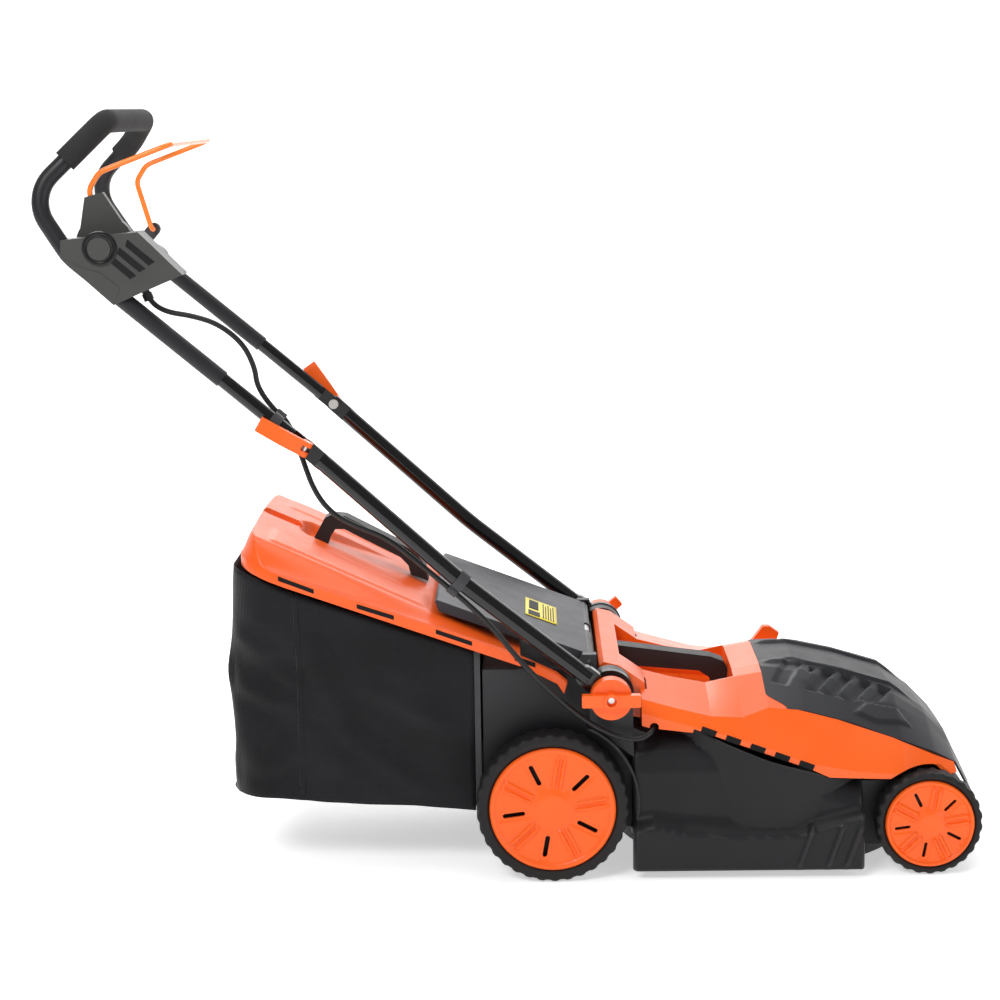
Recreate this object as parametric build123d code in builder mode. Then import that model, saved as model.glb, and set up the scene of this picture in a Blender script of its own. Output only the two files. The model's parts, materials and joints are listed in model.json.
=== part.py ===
from build123d import *
import os
from math import acos, cos, hypot, pi, radians, sin, tan

# Walk-behind electric lawn mower, in millimetres.
# +X points forward, +Y to the mower's left and +Z up.
# The origin is on the ground, straight below the rear axle's centre.

# --- driving dimensions -----------------------------------------------------
REAR_R = 100.0           # rear wheel radius
FRONT_R = 70.0           # front wheel radius
WHEELBASE = 494.0        # rear to front axle centre
REAR_IN, REAR_OUT = 176.0, 218.0      # rear tyre, inner and outer face from the centre plane
FRONT_IN, FRONT_OUT = 174.0, 204.0    # front tyre, inner and outer face
AXLE_R = 6.0             # axle bar radius
CRANK = (44.0, -25.0)    # crank pivot seen from its wheel centre
CRANK_SWING = 58.0       # degrees of height adjustment
PIN_ARM = 24.0           # link pin's distance from the crank pivot
PIN_ANGLE = 61.0         # link pin's direction above +X
DRUM_X = 290.0           # centre of the cutting chamber
DRUM_R = 200.0           # its outer radius
WALL = 3.0               # moulded wall thickness
SIDE = 165.0             # half-width of the chassis between the wheels
SKIRT = 212.0            # half-width of the lower side skirts
GROUND_GAP = 12.0        # skirt's lower edge above the ground
TAIL = -90.0             # rear end of the discharge tunnel
NOSE = 560.0             # front end of the chassis
CEILING = 62.0           # underside of the cutting chamber's ceiling
TUNNEL = 140.0           # half-width inside the discharge tunnel
COWL_SIDE = 195.0        # half-width of the orange cowl
COWL_TAIL = 64.0         # rear face of the cowl
BLADE_R = 190.0
SHAFT_R = 6.0
FIT = 0.05               # radial clearance of a running fit
GAP = 0.3                # clearance between bodies that don't touch
TUBE_Y = 203.0           # centre plane of the handle's side tubes
UPPER_TUBE_R = 11.0
MID_TUBE_R = 9.5
LOWER_TUBE_R = 11.0
KNOB_AXIS = (77.0, 250.0)          # x, z of the lower fold
CLAMP_AXIS = (-309.0, 580.5)       # x, z of the upper fold
FLAP_AXIS = (50.0, 285.0)          # x, z of the rear flap's hinge
BAIL_AXIS = (-558.0, 838.0)        # x, z of the bail's hinge
CABLE_R = 3.5
BAIL_R = 3.5
LEVER_AXIS = (306.0, 118.0)        # x, z of the height lever's shaft

os.makedirs("parts", exist_ok=True)

rear_pivot = (CRANK[0], REAR_R + CRANK[1])
front_pivot = (WHEELBASE + CRANK[0], FRONT_R + CRANK[1])
pin_step = (PIN_ARM * cos(radians(PIN_ANGLE)), PIN_ARM * sin(radians(PIN_ANGLE)))
rear_pin = (rear_pivot[0] + pin_step[0], rear_pivot[1] + pin_step[1])
front_pin = (front_pivot[0] + pin_step[0], front_pivot[1] + pin_step[1])


def save(piece, name):
    """Label a finished piece and write it to its own file."""
    piece.label = name
    export_step(piece, f"parts/{name}.step")


def side_plate(points, y_from, y_to, mode=Mode.ADD):
    """A plate with an X-Z outline, between two Y positions."""
    with BuildSketch(Plane.XZ.offset(-y_to)) as outline:
        with BuildLine():
            Polyline(*points, close=True)
        make_face()
    extrude(outline.sketch, amount=y_to - y_from, mode=mode)


def y_bar(centre, radius, y_from, y_to, mode=Mode.ADD):
    """A round bar or hole along Y."""
    with BuildSketch(Plane.XZ.offset(-y_to)) as section:
        with Locations(centre):
            Circle(radius)
    extrude(section.sketch, amount=y_to - y_from, mode=mode)


def z_bar(x, y, radius, z_from, z_to, mode=Mode.ADD):
    """A round bar or hole along Z."""
    with BuildSketch(Plane.XY.offset(z_from)) as section:
        with Locations((x, y)):
            Circle(radius)
    extrude(section.sketch, amount=z_to - z_from, mode=mode)


def block(x0, x1, y0, y1, z0, z1, mode=Mode.ADD):
    """A rectangular block given by its limits."""
    with BuildSketch(Plane.XY.offset(z0)) as section:
        with Locations(((x0 + x1) / 2, (y0 + y1) / 2)):
            Rectangle(x1 - x0, y1 - y0)
    extrude(section.sketch, amount=z1 - z0, mode=mode)


def link_plate(a, b, radius, y_from, y_to, mode=Mode.ADD):
    """A flat link with round ends about two X-Z centres."""
    with BuildSketch(Plane.XZ.offset(-y_to)) as outline:
        with Locations(a, b):
            Circle(radius)
        make_hull()
    extrude(outline.sketch, amount=y_to - y_from, mode=mode)


def bar_between(a, b, radius, mode=Mode.ADD):
    """A round bar from one point in space to another."""
    start = Vector(*a)
    run = Vector(*b) - start
    with BuildSketch(Plane(origin=start, z_dir=run)) as section:
        Circle(radius)
    extrude(section.sketch, amount=run.length, mode=mode)


def pipe(points, radii, radius, bore=0.0):
    """A bent tube: straight runs joined by tangent arcs."""
    with BuildLine() as path:
        FilletPolyline(*points, radius=radii)
    start = Plane(origin=path.line @ 0, z_dir=path.line % 0)
    with BuildSketch(start) as section:
        Circle(radius)
        if bore:
            Circle(bore, mode=Mode.SUBTRACT)
    sweep(section.sketch, path=path.line)


def on_y(point, y):
    """An X-Z point put at a Y position."""
    return (point[0], y, point[1])


# --- chassis ----------------------------------------------------------------
FLAP_EAR_TOP = 294.0
deck_top = [(TAIL, 275), (30, 275), (42, FLAP_EAR_TOP), (60, FLAP_EAR_TOP), (62, 215), (116, 190),
            (360, 118), (528, 118), (NOSE, 86)]
deck_side = deck_top + [(NOSE, 0), (TAIL, 0)]
deck_top_inner = [(TAIL, 272), (28, 272), (40, 291), (58, 291), (59, 213), (116, 187), (360, 115),
                  (527, 115), (NOSE - WALL, 84)]
deck_side_inner = deck_top_inner + [(NOSE - WALL, -20), (TAIL, -20)]
tunnel_inner = [(96, 56), (64, 88), (TAIL - 2, 103), (TAIL - 2, 266), (40, 228), (84, 190), (130, 168),
                (224, 56)]
tunnel_outer = [(88, CEILING), (61, 86), (TAIL, 100), (TAIL, 269.5), (42, 231), (86, 193.5),
                (132, 171.5), (227, CEILING + WALL), (227, CEILING)]
skirt_side = [(112, GROUND_GAP), (372, GROUND_GAP), (404, 24), (404, 56), (112, 56)]
ear_side = [(50, 203), (108, 160), (106, 256), (48, 256)]
EAR_OUT = 186.0
ARCH_R = 115.0

with BuildPart() as deck:
    z_bar(DRUM_X, 0, DRUM_R, GROUND_GAP, 300)
    block(TAIL, DRUM_X, -SIDE, SIDE, 58, 300)
    block(DRUM_X, NOSE, -SIDE, SIDE, 30, 300)
    side_plate(deck_side, -DRUM_R - 5, DRUM_R + 5, mode=Mode.INTERSECT)
    with BuildPart(mode=Mode.PRIVATE) as deck_room:
        z_bar(DRUM_X, 0, DRUM_R - WALL, -20, 300)
        block(TAIL + WALL, DRUM_X, -SIDE + WALL, SIDE - WALL, -20, 300)
        block(DRUM_X, NOSE - WALL, -SIDE + WALL, SIDE - WALL, -20, 300)
        side_plate(deck_side_inner, -DRUM_R, DRUM_R, mode=Mode.INTERSECT)
    add(deck_room.part, mode=Mode.SUBTRACT)
    # flared side skirts round the lower edge
    for side in (-1, 1):
        y_low, y_high = sorted((side * 120, side * SKIRT))
        side_plate(skirt_side, y_low, y_high)
    z_bar(DRUM_X, 0, DRUM_R - WALL, -20, 53, mode=Mode.SUBTRACT)
    for side in (-1, 1):
        y_low, y_high = sorted((side * 100, side * (SKIRT - WALL)))
        block(115, 401, y_low, y_high, -20, 53, mode=Mode.SUBTRACT)
    # chamber ceiling, drum wall and motor opening
    z_bar(DRUM_X, 0, DRUM_R - 1, CEILING, CEILING + WALL)
    with BuildSketch(Plane.XY.offset(GROUND_GAP)) as drum_ring:
        with Locations((DRUM_X, 0)):
            Circle(DRUM_R)
            Circle(DRUM_R - WALL, mode=Mode.SUBTRACT)
    extrude(drum_ring.sketch, amount=CEILING + WALL - GROUND_GAP)
    z_bar(DRUM_X, 0, 66, 100, 200, mode=Mode.SUBTRACT)
    z_bar(DRUM_X, 0, 14, 50, 70, mode=Mode.SUBTRACT)
    # discharge tunnel
    side_plate(tunnel_outer, -TUNNEL - WALL, TUNNEL + WALL)
    side_plate(tunnel_inner, -TUNNEL, TUNNEL, mode=Mode.SUBTRACT)
    block(70, 200, -TUNNEL, TUNNEL, 30, CEILING, mode=Mode.SUBTRACT)
    block(28, 72, -152, 152, 262, 300, mode=Mode.SUBTRACT)
    # handle ears, wheel arches and axle bosses on both sides
    for side in (-1, 1):
        y_low, y_high = sorted((side * (SIDE - WALL), side * EAR_OUT))
        side_plate(ear_side, y_low, y_high)
        y_bar(KNOB_AXIS, 29, y_low, y_high)
        y_low, y_high = sorted((side * (SIDE - WALL), side * 198))
        with BuildSketch(Plane.XZ.offset(-y_high)) as arch:
            with Locations((0, REAR_R)):
                Circle(ARCH_R)
                Circle(ARCH_R - WALL, mode=Mode.SUBTRACT)
            with Locations((82, 130)):
                Rectangle(80, 144, mode=Mode.INTERSECT)
        extrude(arch.sketch, amount=y_high - y_low)
        y_low, y_high = sorted((side * 161, side * (SIDE + 1)))
        for pivot in (rear_pivot, front_pivot):
            y_bar(pivot, 12, y_low, y_high)
    y_bar(LEVER_AXIS, 9, 190, 203)
    # bores
    for pivot in (rear_pivot, front_pivot):
        y_bar(pivot, AXLE_R + FIT, -SIDE - 5, SIDE + 5, mode=Mode.SUBTRACT)
    y_bar(KNOB_AXIS, 4.0, -EAR_OUT - 5, EAR_OUT + 5, mode=Mode.SUBTRACT)
    y_bar(LEVER_AXIS, 4.0 + FIT, 180, 210, mode=Mode.SUBTRACT)
    y_bar(FLAP_AXIS, 2.5, -SIDE - 5, SIDE + 5, mode=Mode.SUBTRACT)
save(deck.part, "deck")


# --- cowl and motor hood ----------------------------------------------------
# Cross-sections of the body's skin: x, half-width of the side, height of its lower bend,
# half-width and height of the seam, of the shoulder, and the height of the crown.
body_sections = [
    (118, 195, 222, 190, 240, 88, 253, 252),
    (163, 195, 209, 190, 227, 87, 241, 242),
    (209, 195, 196, 188, 215, 87, 232, 236),
    (250, 195, 184, 184, 212, 86, 241, 245),
    (285, 195, 172, 174, 222, 86, 247, 252),
    (333, 195, 152, 172, 217, 106, 243, 254),
    (397, 195, 140, 172, 199, 119, 224, 240),
    (462, 193, 134, 171, 174, 110, 205, 220),
    (507, 186, 130, 162, 155, 102, 176, 188),
    (536, 172, 120, 152, 138, 100, 148, 158),
    (566, 150, 70, 136, 82, 96, 88, 93),
]
BODY_FOOT = 60.0         # the sections run down to here before they are trimmed


def section_points(row, inset):
    """Half a cross-section, from the foot up to the crown, moved inwards by a wall."""
    x, low_y, low_z, seam_y, seam_z, top_y, top_z, crown = row
    return [(low_y - inset, BODY_FOOT), (low_y - inset, low_z - inset), (seam_y - inset, seam_z - inset),
            (top_y - inset, top_z - inset), (60 - inset, crown - inset)]


def body_skin(inset):
    """The skin as one ruled loft through its cross-sections."""
    faces = []
    for row in body_sections:
        half = section_points(row, inset)
        x = row[0] + (inset if row is body_sections[0] else 0) - (inset if row is body_sections[-1] else 0)
        with BuildSketch(Plane.YZ.offset(x)) as section:
            with BuildLine():
                Polyline(*half, *[(-y, z) for y, z in reversed(half)], close=True)
            make_face()
        faces.append(section.sketch.faces()[0])
    loft(faces, ruled=True)


cowl_rear_side = [(COWL_TAIL, 218), (COWL_TAIL, 276), (70, 281), (90, 276), (124, 252), (124, 196)]
cowl_under = [(40, 0), (40, 214), (118, 205), (128, 202), (184, 195), (186, 200), (340, 143), (363.5, 132),
              (437, 129), (548, 128), (580, 128), (580, 0)]
hood_zone = [(284, 400), (284, 248), (309, 222), (376, 204), (450, 178), (533, 139), (545, 90),
             (700, 90), (700, 400)]
TRAY_Y = 84.0            # half-width of the recess under the carry handle
recess_outer = [(90, 320), (90, 214), (150, 200), (246, 192), (257, 320)]
recess_inner = [(93, 330), (93, 217), (150, 203), (243, 195), (254, 330)]

handle_outer = [(84, 241), (76, 248), (76, 262), (84, 269), (222, 250), (240, 243), (248, 226), (243.2, 205),
                (224, 205), (221, 220), (206, 230)]
COWL_REAR_Y = 154.0      # the cowl's half-width between the knobs
with BuildPart() as cowl:
    body_skin(0.0)
    side_plate(cowl_rear_side, -COWL_REAR_Y, COWL_REAR_Y)
    side_plate(cowl_under, -220, 220, mode=Mode.SUBTRACT)
    with BuildPart(mode=Mode.PRIVATE) as cowl_solid:
        add(cowl.part)
    with BuildPart(mode=Mode.PRIVATE) as cowl_room:
        body_skin(WALL)
        side_plate([(COWL_TAIL + WALL, 100), (COWL_TAIL + WALL, 273), (72, 278), (89, 273), (127, 247),
                    (127, 100)], -COWL_REAR_Y + WALL, COWL_REAR_Y - WALL)
    add(cowl_room.part, mode=Mode.SUBTRACT)
    side_plate(hood_zone, -220, 220, mode=Mode.SUBTRACT)
    # recess under the carry handle
    with BuildPart(mode=Mode.PRIVATE) as tray:
        side_plate(recess_outer, -TRAY_Y - WALL, TRAY_Y + WALL)
        add(cowl_solid.part, mode=Mode.INTERSECT)
    add(tray.part)
    side_plate(recess_inner, -TRAY_Y, TRAY_Y, mode=Mode.SUBTRACT)
    side_plate(handle_outer, -14, 14, mode=Mode.SUBTRACT)
    # notch where the cable enters, and room for the front wheels
    y_bar((134, 203), CABLE_R + 2.5, -COWL_SIDE - 5, -150, mode=Mode.SUBTRACT)
    for side in (-1, 1):
        y_low, y_high = sorted((side * (FRONT_IN - 3), side * 230))
        y_bar((WHEELBASE - 4, FRONT_R - 4), FRONT_R + 8, y_low, y_high, mode=Mode.SUBTRACT)
save(cowl.part, "cowl")

hood_zone_inner = [(284.6, 400), (284.6, 248), (309.5, 222.6), (376.2, 204.6), (450.3, 178.6), (533.5, 139.6),
                   (545.6, 91), (700, 91), (700, 400)]
with BuildPart() as hood:
    body_skin(0.0)
    with BuildPart(mode=Mode.PRIVATE) as hood_room:
        body_skin(WALL)
    add(hood_room.part, mode=Mode.SUBTRACT)
    side_plate(hood_zone_inner, -220, 220, mode=Mode.INTERSECT)
    side_plate([(500, 50), (560.4, 50), (560.4, 86.4), (528.2, 118.4), (500, 118.4)], -200, 200,
               mode=Mode.SUBTRACT)
    # three air slots on each shoulder
    for side in (-1, 1):
        for step in range(3):
            x = 365 + 30 * step
            y_low, y_high = sorted((side * 84, side * 106))
            side_plate([(x, 200), (x + 9, 200), (x + 23, 290), (x + 14, 290)], y_low, y_high,
                       mode=Mode.SUBTRACT)
save(hood.part, "hood")

with BuildPart() as carry_handle:
    side_plate(handle_outer, -14, 14)
    fillet(carry_handle.edges().filter_by(GeomType.LINE).filter_by(Axis.Y).sort_by(Axis.Z)[-2:], 4)
save(carry_handle.part, "carry_handle")


# --- motor, blade and fan ---------------------------------------------------
MOTOR_BASE = CEILING + WALL
MOTOR_TOP = 170.0
stator_section = [(12, MOTOR_BASE), (60, MOTOR_BASE), (60, MOTOR_TOP), (12, MOTOR_TOP), (12, MOTOR_TOP - 6),
                  (54, MOTOR_TOP - 6), (54, 150), (37, 150), (37, 86), (54, 86), (54, MOTOR_BASE + 6),
                  (12, MOTOR_BASE + 6)]


def turned(points, x=0.0, y=0.0):
    """A turned piece: a radius-height outline revolved about a vertical axis."""
    with BuildSketch(Plane(origin=(x, y, 0), x_dir=(1, 0, 0), z_dir=(0, -1, 0))) as outline:
        with BuildLine():
            Polyline(*points, close=True)
        make_face()
    revolve(outline.sketch, axis=Axis((x, y, 0), (0, 0, 1)))


with BuildPart() as motor_stator:
    turned(stator_section, DRUM_X)
save(motor_stator.part, "motor_stator")

with BuildPart() as motor_bearings:
    for z in (MOTOR_BASE, MOTOR_TOP - 6):
        z_bar(DRUM_X, 0, 11.98, z, z + 6)
        z_bar(DRUM_X, 0, SHAFT_R + FIT, z - 1, z + 7, mode=Mode.SUBTRACT)
save(motor_bearings.part, "motor_bearings")

BLADE_Z = 34.0
BLADE_T = 4.0
with BuildPart() as rotor:
    z_bar(DRUM_X, 0, SHAFT_R, BLADE_Z + BLADE_T, 196)
    z_bar(DRUM_X, 0, 35, 90, 146)
    z_bar(DRUM_X, 0, 4.02, BLADE_Z, 64, mode=Mode.SUBTRACT)
save(rotor.part, "rotor")

with BuildPart() as cooling_fan:
    z_bar(DRUM_X, 0, 52, 174, 176.5)
    z_bar(DRUM_X, 0, 12, 174, 192)
    for step in range(10):
        with BuildSketch(Plane.XY.offset(176)) as vane:
            with Locations(Location((DRUM_X, 0), 36 * step)):
                with Locations((31, 0)):
                    Rectangle(40, 2.5)
        extrude(vane.sketch, amount=14)
    z_bar(DRUM_X, 0, SHAFT_R + 0.02, 170, 200, mode=Mode.SUBTRACT)
save(cooling_fan.part, "cooling_fan")

with BuildPart() as blade_adapter:
    z_bar(DRUM_X, 0, 28, BLADE_Z + BLADE_T, 44)
    z_bar(DRUM_X, 0, 14, 44, 54)
    z_bar(DRUM_X, 0, SHAFT_R + 0.02, BLADE_Z, 60, mode=Mode.SUBTRACT)
save(blade_adapter.part, "blade_adapter")

with BuildPart() as blade:
    block(DRUM_X - BLADE_R + 4, DRUM_X + BLADE_R - 4, -24, 24, BLADE_Z, BLADE_Z + BLADE_T)
    for end in (-1, 1):
        x_low, x_high = sorted((DRUM_X + end * 110, DRUM_X + end * (BLADE_R - 4)))
        y_low, y_high = sorted((end * 12, end * 24))
        block(x_low, x_high, y_low, y_high, BLADE_Z + BLADE_T, BLADE_Z + 14)
        x_low, x_high = sorted((DRUM_X + end * 109, DRUM_X + end * BLADE_R))
        y_low, y_high = sorted((end * 8, end * 21))
        block(x_low, x_high, y_low, y_high, BLADE_Z + BLADE_T, BLADE_Z + 20, mode=Mode.SUBTRACT)
    z_bar(DRUM_X, 0, 4.3, 20, 60, mode=Mode.SUBTRACT)
save(blade.part, "blade")

with BuildPart() as blade_bolt:
    z_bar(DRUM_X, 0, 14, BLADE_Z - 3, BLADE_Z)
    with BuildSketch(Plane.XY.offset(BLADE_Z - 10)) as head:
        with Locations((DRUM_X, 0)):
            RegularPolygon(9, 6)
    extrude(head.sketch, amount=7)
    z_bar(DRUM_X, 0, 4.0, BLADE_Z, 62)
save(blade_bolt.part, "blade_bolt")


# --- axles, wheels and height adjustment ------------------------------------
def cranked_axle(pivot, hub, pin, stub_end):
    """A bar across the chassis, an arm and a wheel stub at each end, and the link arm."""
    y_bar(pivot, AXLE_R, -172, 172)
    for side in (-1, 1):
        y_low, y_high = sorted((side * 167, side * 172))
        link_plate(pivot, hub, 10, y_low, y_high)
        y_low, y_high = sorted((side * 167, side * stub_end))
        y_bar(hub, AXLE_R, y_low, y_high)
    link_plate(pivot, pin, 6.5, 156, 160)
    y_bar(pin, 3.0, 149, 158)


def wheel(centre, radius, y_in, y_out, rim, hub_end):
    """A wheel on the left: tyre ring, web and hub, with treads cut round its edge."""
    y_bar(centre, radius, y_in, y_out)
    y_bar(centre, rim, y_in - 1, hub_end - 13, mode=Mode.SUBTRACT)
    y_bar(centre, rim, hub_end - 8, y_out + 1, mode=Mode.SUBTRACT)
    y_bar(centre, 17, y_in + 1, hub_end)
    y_bar(centre, AXLE_R + FIT, y_in - 5, y_out + 5, mode=Mode.SUBTRACT)


def hex_nut(centre, y_from, y_to):
    """A hexagon nut round an axle's end."""
    with BuildSketch(Plane.XZ.offset(-y_to)) as outline:
        with Locations(centre):
            RegularPolygon(10.5, 6)
            Circle(AXLE_R + 0.02, mode=Mode.SUBTRACT)
    extrude(outline.sketch, amount=y_to - y_from)


def hub_cap(centre, radius, y_face, depth):
    """A domed wheel cap on the left, with five slots and a raised hub."""
    y_bar(centre, radius, y_face - depth, y_face - 2)
    y_bar(centre, radius - 2.5, y_face - depth - 1, y_face - 4.5, mode=Mode.SUBTRACT)
    y_bar(centre, radius * 0.26, y_face - 4, y_face)
    for step in range(5):
        angle = 72 * step + 44
        spot = (centre[0] + radius * 0.6 * cos(radians(angle)),
                centre[1] + radius * 0.6 * sin(radians(angle)))
        with BuildSketch(Plane.XZ.offset(-y_face)) as slot:
            with Locations(Location(spot, angle)):
                SlotOverall(radius * 0.3, 4.6)
        extrude(slot.sketch, amount=depth + 1, mode=Mode.SUBTRACT)


rear_hub = (0.0, REAR_R)
front_hub = (WHEELBASE, FRONT_R)
with BuildPart() as rear_axle:
    cranked_axle(rear_pivot, rear_hub, rear_pin, 213)
save(rear_axle.part, "rear_axle")
with BuildPart() as front_axle:
    cranked_axle(front_pivot, front_hub, front_pin, 199)
save(front_axle.part, "front_axle")

for name, hub, y_from in (("rear_axle_nuts", rear_hub, 205.3), ("front_axle_nuts", front_hub, 191.3)):
    with BuildPart() as nuts:
        hex_nut(hub, y_from, y_from + 6.5)
        hex_nut(hub, -y_from - 6.5, -y_from)
    save(nuts.part, name)

wheel_rows = (("rear", rear_hub, REAR_R, REAR_IN, REAR_OUT, 84.0, 205.0, 82.5, 222.0, 8.0),
              ("front", front_hub, FRONT_R, FRONT_IN, FRONT_OUT, 59.5, 191.0, 58.0, 208.0, 8.0))
for end, hub, radius, y_in, y_out, rim, hub_end, cap_r, cap_face, depth in wheel_rows:
    with BuildPart() as wheel_left:
        wheel(hub, radius, y_in, y_out, rim, hub_end)
    save(wheel_left.part, f"{end}_wheel_left")
    with BuildPart() as wheel_right:
        mirror(wheel_left.part, about=Plane.XZ)
    save(wheel_right.part, f"{end}_wheel_right")
    with BuildPart() as cap_left:
        hub_cap(hub, cap_r, cap_face, depth)
    save(cap_left.part, f"{end}_cap_left")
    with BuildPart() as cap_right:
        mirror(cap_left.part, about=Plane.XZ)
    save(cap_right.part, f"{end}_cap_right")

# the link rod couples both cranks, and its peg is moved by the height lever
ROD_PEG_X = LEVER_AXIS[0] + pin_step[0]
rod_slope = (front_pin[1] - rear_pin[1]) / (front_pin[0] - rear_pin[0])
rod_peg = (ROD_PEG_X, rear_pin[1] + rod_slope * (ROD_PEG_X - rear_pin[0]))
with BuildPart() as link_rod:
    link_plate(rear_pin, front_pin, 5, 151.5, 154.5)
    y_bar(rod_peg, 3.0, 154, 161.5)
    for pin in (rear_pin, front_pin):
        y_bar(pin, 3.0 + FIT, 140, 156, mode=Mode.SUBTRACT)
save(link_rod.part, "link_rod")

arm_run = hypot(rod_peg[0] - LEVER_AXIS[0], rod_peg[1] - LEVER_AXIS[1])
arm_dir = ((rod_peg[0] - LEVER_AXIS[0]) / arm_run, (rod_peg[1] - LEVER_AXIS[1]) / arm_run)


def along_arm(distance):
    """A point on the lever's inner arm, at a distance from its shaft."""
    return (LEVER_AXIS[0] + arm_dir[0] * distance, LEVER_AXIS[1] + arm_dir[1] * distance)


with BuildPart() as height_lever:
    y_bar(LEVER_AXIS, 4.0, 156, 209)
    link_plate(LEVER_AXIS, along_arm(arm_run + 3), 8.5, 156, 160)
    link_plate(along_arm(arm_run - 5), along_arm(arm_run + 2), 4.0, 150, 165, mode=Mode.SUBTRACT)
    link_plate(LEVER_AXIS, (318, 206), 7, 204, 207)
    side_plate([(306, 205), (300, 214), (318, 238), (328, 238), (342, 228), (336, 210), (324, 202)],
               202.5, 216)
save(height_lever.part, "height_lever")


# --- rear flap --------------------------------------------------------------
FLAP_Y = 150.0
FLAP_BARREL = 6.5
flap_plate = [(46, 288.5), (-150, 361.5), (-151, 365), (-148, 366.5), (50, 291.4)]
flap_flange = [(44, 282), (-146, 351), (-150, 362), (40, 291)]
with BuildPart() as rear_flap:
    side_plate(flap_plate, -FLAP_Y, FLAP_Y)
    for side in (-1, 1):
        y_low, y_high = sorted((side * (FLAP_Y - 3), side * FLAP_Y))
        side_plate(flap_flange, y_low, y_high)
        y_low, y_high = sorted((side * 21, side * 148))
        y_bar(FLAP_AXIS, FLAP_BARREL, y_low, y_high)
    y_bar(FLAP_AXIS, 2.5 + FIT, -160, 160, mode=Mode.SUBTRACT)
    y_bar(FLAP_AXIS, 7.2, -20, 20, mode=Mode.SUBTRACT)
save(rear_flap.part, "rear_flap")

with BuildPart() as flap_pin:
    y_bar(FLAP_AXIS, 2.5, -SIDE - 1, SIDE + 1)
save(flap_pin.part, "flap_pin")

with BuildPart() as flap_spring:
    y_bar(FLAP_AXIS, 4.8, -18, 18)
    side_plate([(30, 287), (31, 288.6), (49, 284.2), (49, 282.2)], -18, -16)
    side_plate([(47, 284), (51, 284), (51, 266), (49, 266)], 16, 18)
    y_bar(FLAP_AXIS, 3.2, -20, 20, mode=Mode.SUBTRACT)
save(flap_spring.part, "flap_spring")


# --- folding handle ---------------------------------------------------------
fold_run = hypot(CLAMP_AXIS[0] - KNOB_AXIS[0], CLAMP_AXIS[1] - KNOB_AXIS[1])
tube_dir = ((CLAMP_AXIS[0] - KNOB_AXIS[0]) / fold_run, (CLAMP_AXIS[1] - KNOB_AXIS[1]) / fold_run)
tube_across = (tube_dir[1], -tube_dir[0])


def from_clamp(along, across=0.0):
    """An X-Z point measured from the clamp, up the tube and across it."""
    return (CLAMP_AXIS[0] + tube_dir[0] * along + tube_across[0] * across,
            CLAMP_AXIS[1] + tube_dir[1] * along + tube_across[1] * across)


DISC_OUT = 196.0
CLIP_HIGH = 50.0         # upper cable clip's distance from the clamp
BEND = (-115.0, 403.0)   # x, z of the lower tube's gentle bend
BEND_R = 600.0
bend_in = Vector(BEND[0] - KNOB_AXIS[0], 0, BEND[1] - KNOB_AXIS[1]).normalized()
bend_out = Vector(CLAMP_AXIS[0] - BEND[0], 0, CLAMP_AXIS[1] - BEND[1]).normalized()
TUBE_FOOT = 36.0         # where the round tube begins, from the knob
TUBE_HEAD = 24.0         # and where it ends, from the clamp
tube_foot = (KNOB_AXIS[0] + bend_in.X * TUBE_FOOT, TUBE_Y, KNOB_AXIS[1] + bend_in.Z * TUBE_FOOT)
tube_head = (CLAMP_AXIS[0] - bend_out.X * TUBE_HEAD, TUBE_Y, CLAMP_AXIS[1] - bend_out.Z * TUBE_HEAD)
END_WALL = 4.0           # solid length at each end of the tube
bend_turn = acos(bend_in.dot(bend_out))
bend_depth = BEND_R * (1 / cos(bend_turn / 2) - 1)       # how far the arc cuts inside the bend's corner
bend_middle = (BEND[0] + tube_across[0] * bend_depth, BEND[1] + tube_across[1] * bend_depth)

with BuildPart() as lower_tube_left:
    pipe([tube_foot, on_y(BEND, TUBE_Y), tube_head], [BEND_R], LOWER_TUBE_R, bore=LOWER_TUBE_R - 1.5)
    for end, along in ((tube_foot, bend_in), (tube_head, -bend_out)):
        bar_between(end, tuple(Vector(*end) + along * END_WALL), LOWER_TUBE_R - 1)
    link_plate(KNOB_AXIS, (tube_foot[0] + bend_in.X * 5, tube_foot[2] + bend_in.Z * 5), 13.5,
               DISC_OUT + GAP, 209)
    link_plate(CLAMP_AXIS, (tube_head[0] - bend_out.X * 4, tube_head[2] - bend_out.Z * 4), 11, 203.2, 207.2)
    y_bar(KNOB_AXIS, 4.0 + FIT, 190, 215, mode=Mode.SUBTRACT)
    y_bar(CLAMP_AXIS, 3.0 + FIT, 190, 215, mode=Mode.SUBTRACT)
save(lower_tube_left.part, "lower_tube_left")
with BuildPart() as lower_tube_right:
    mirror(lower_tube_left.part, about=Plane.XZ)
save(lower_tube_right.part, "lower_tube_right")

with BuildPart() as angle_discs:
    for side in (-1, 1):
        y_low, y_high = sorted((side * EAR_OUT, side * DISC_OUT))
        y_bar(KNOB_AXIS, 30.5, y_low, y_high)
    y_bar(KNOB_AXIS, 4.0, -DISC_OUT - 1, DISC_OUT + 1, mode=Mode.SUBTRACT)
save(angle_discs.part, "angle_discs")

with BuildPart() as knob_bolts:
    for side in (-1, 1):
        y_low, y_high = sorted((side * 160, side * 232))
        y_bar(KNOB_AXIS, 4.0, y_low, y_high)
        y_low, y_high = sorted((side * 157.5, side * 161.5))
        y_bar(KNOB_AXIS, 8.0, y_low, y_high)
save(knob_bolts.part, "knob_bolts")

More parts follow.
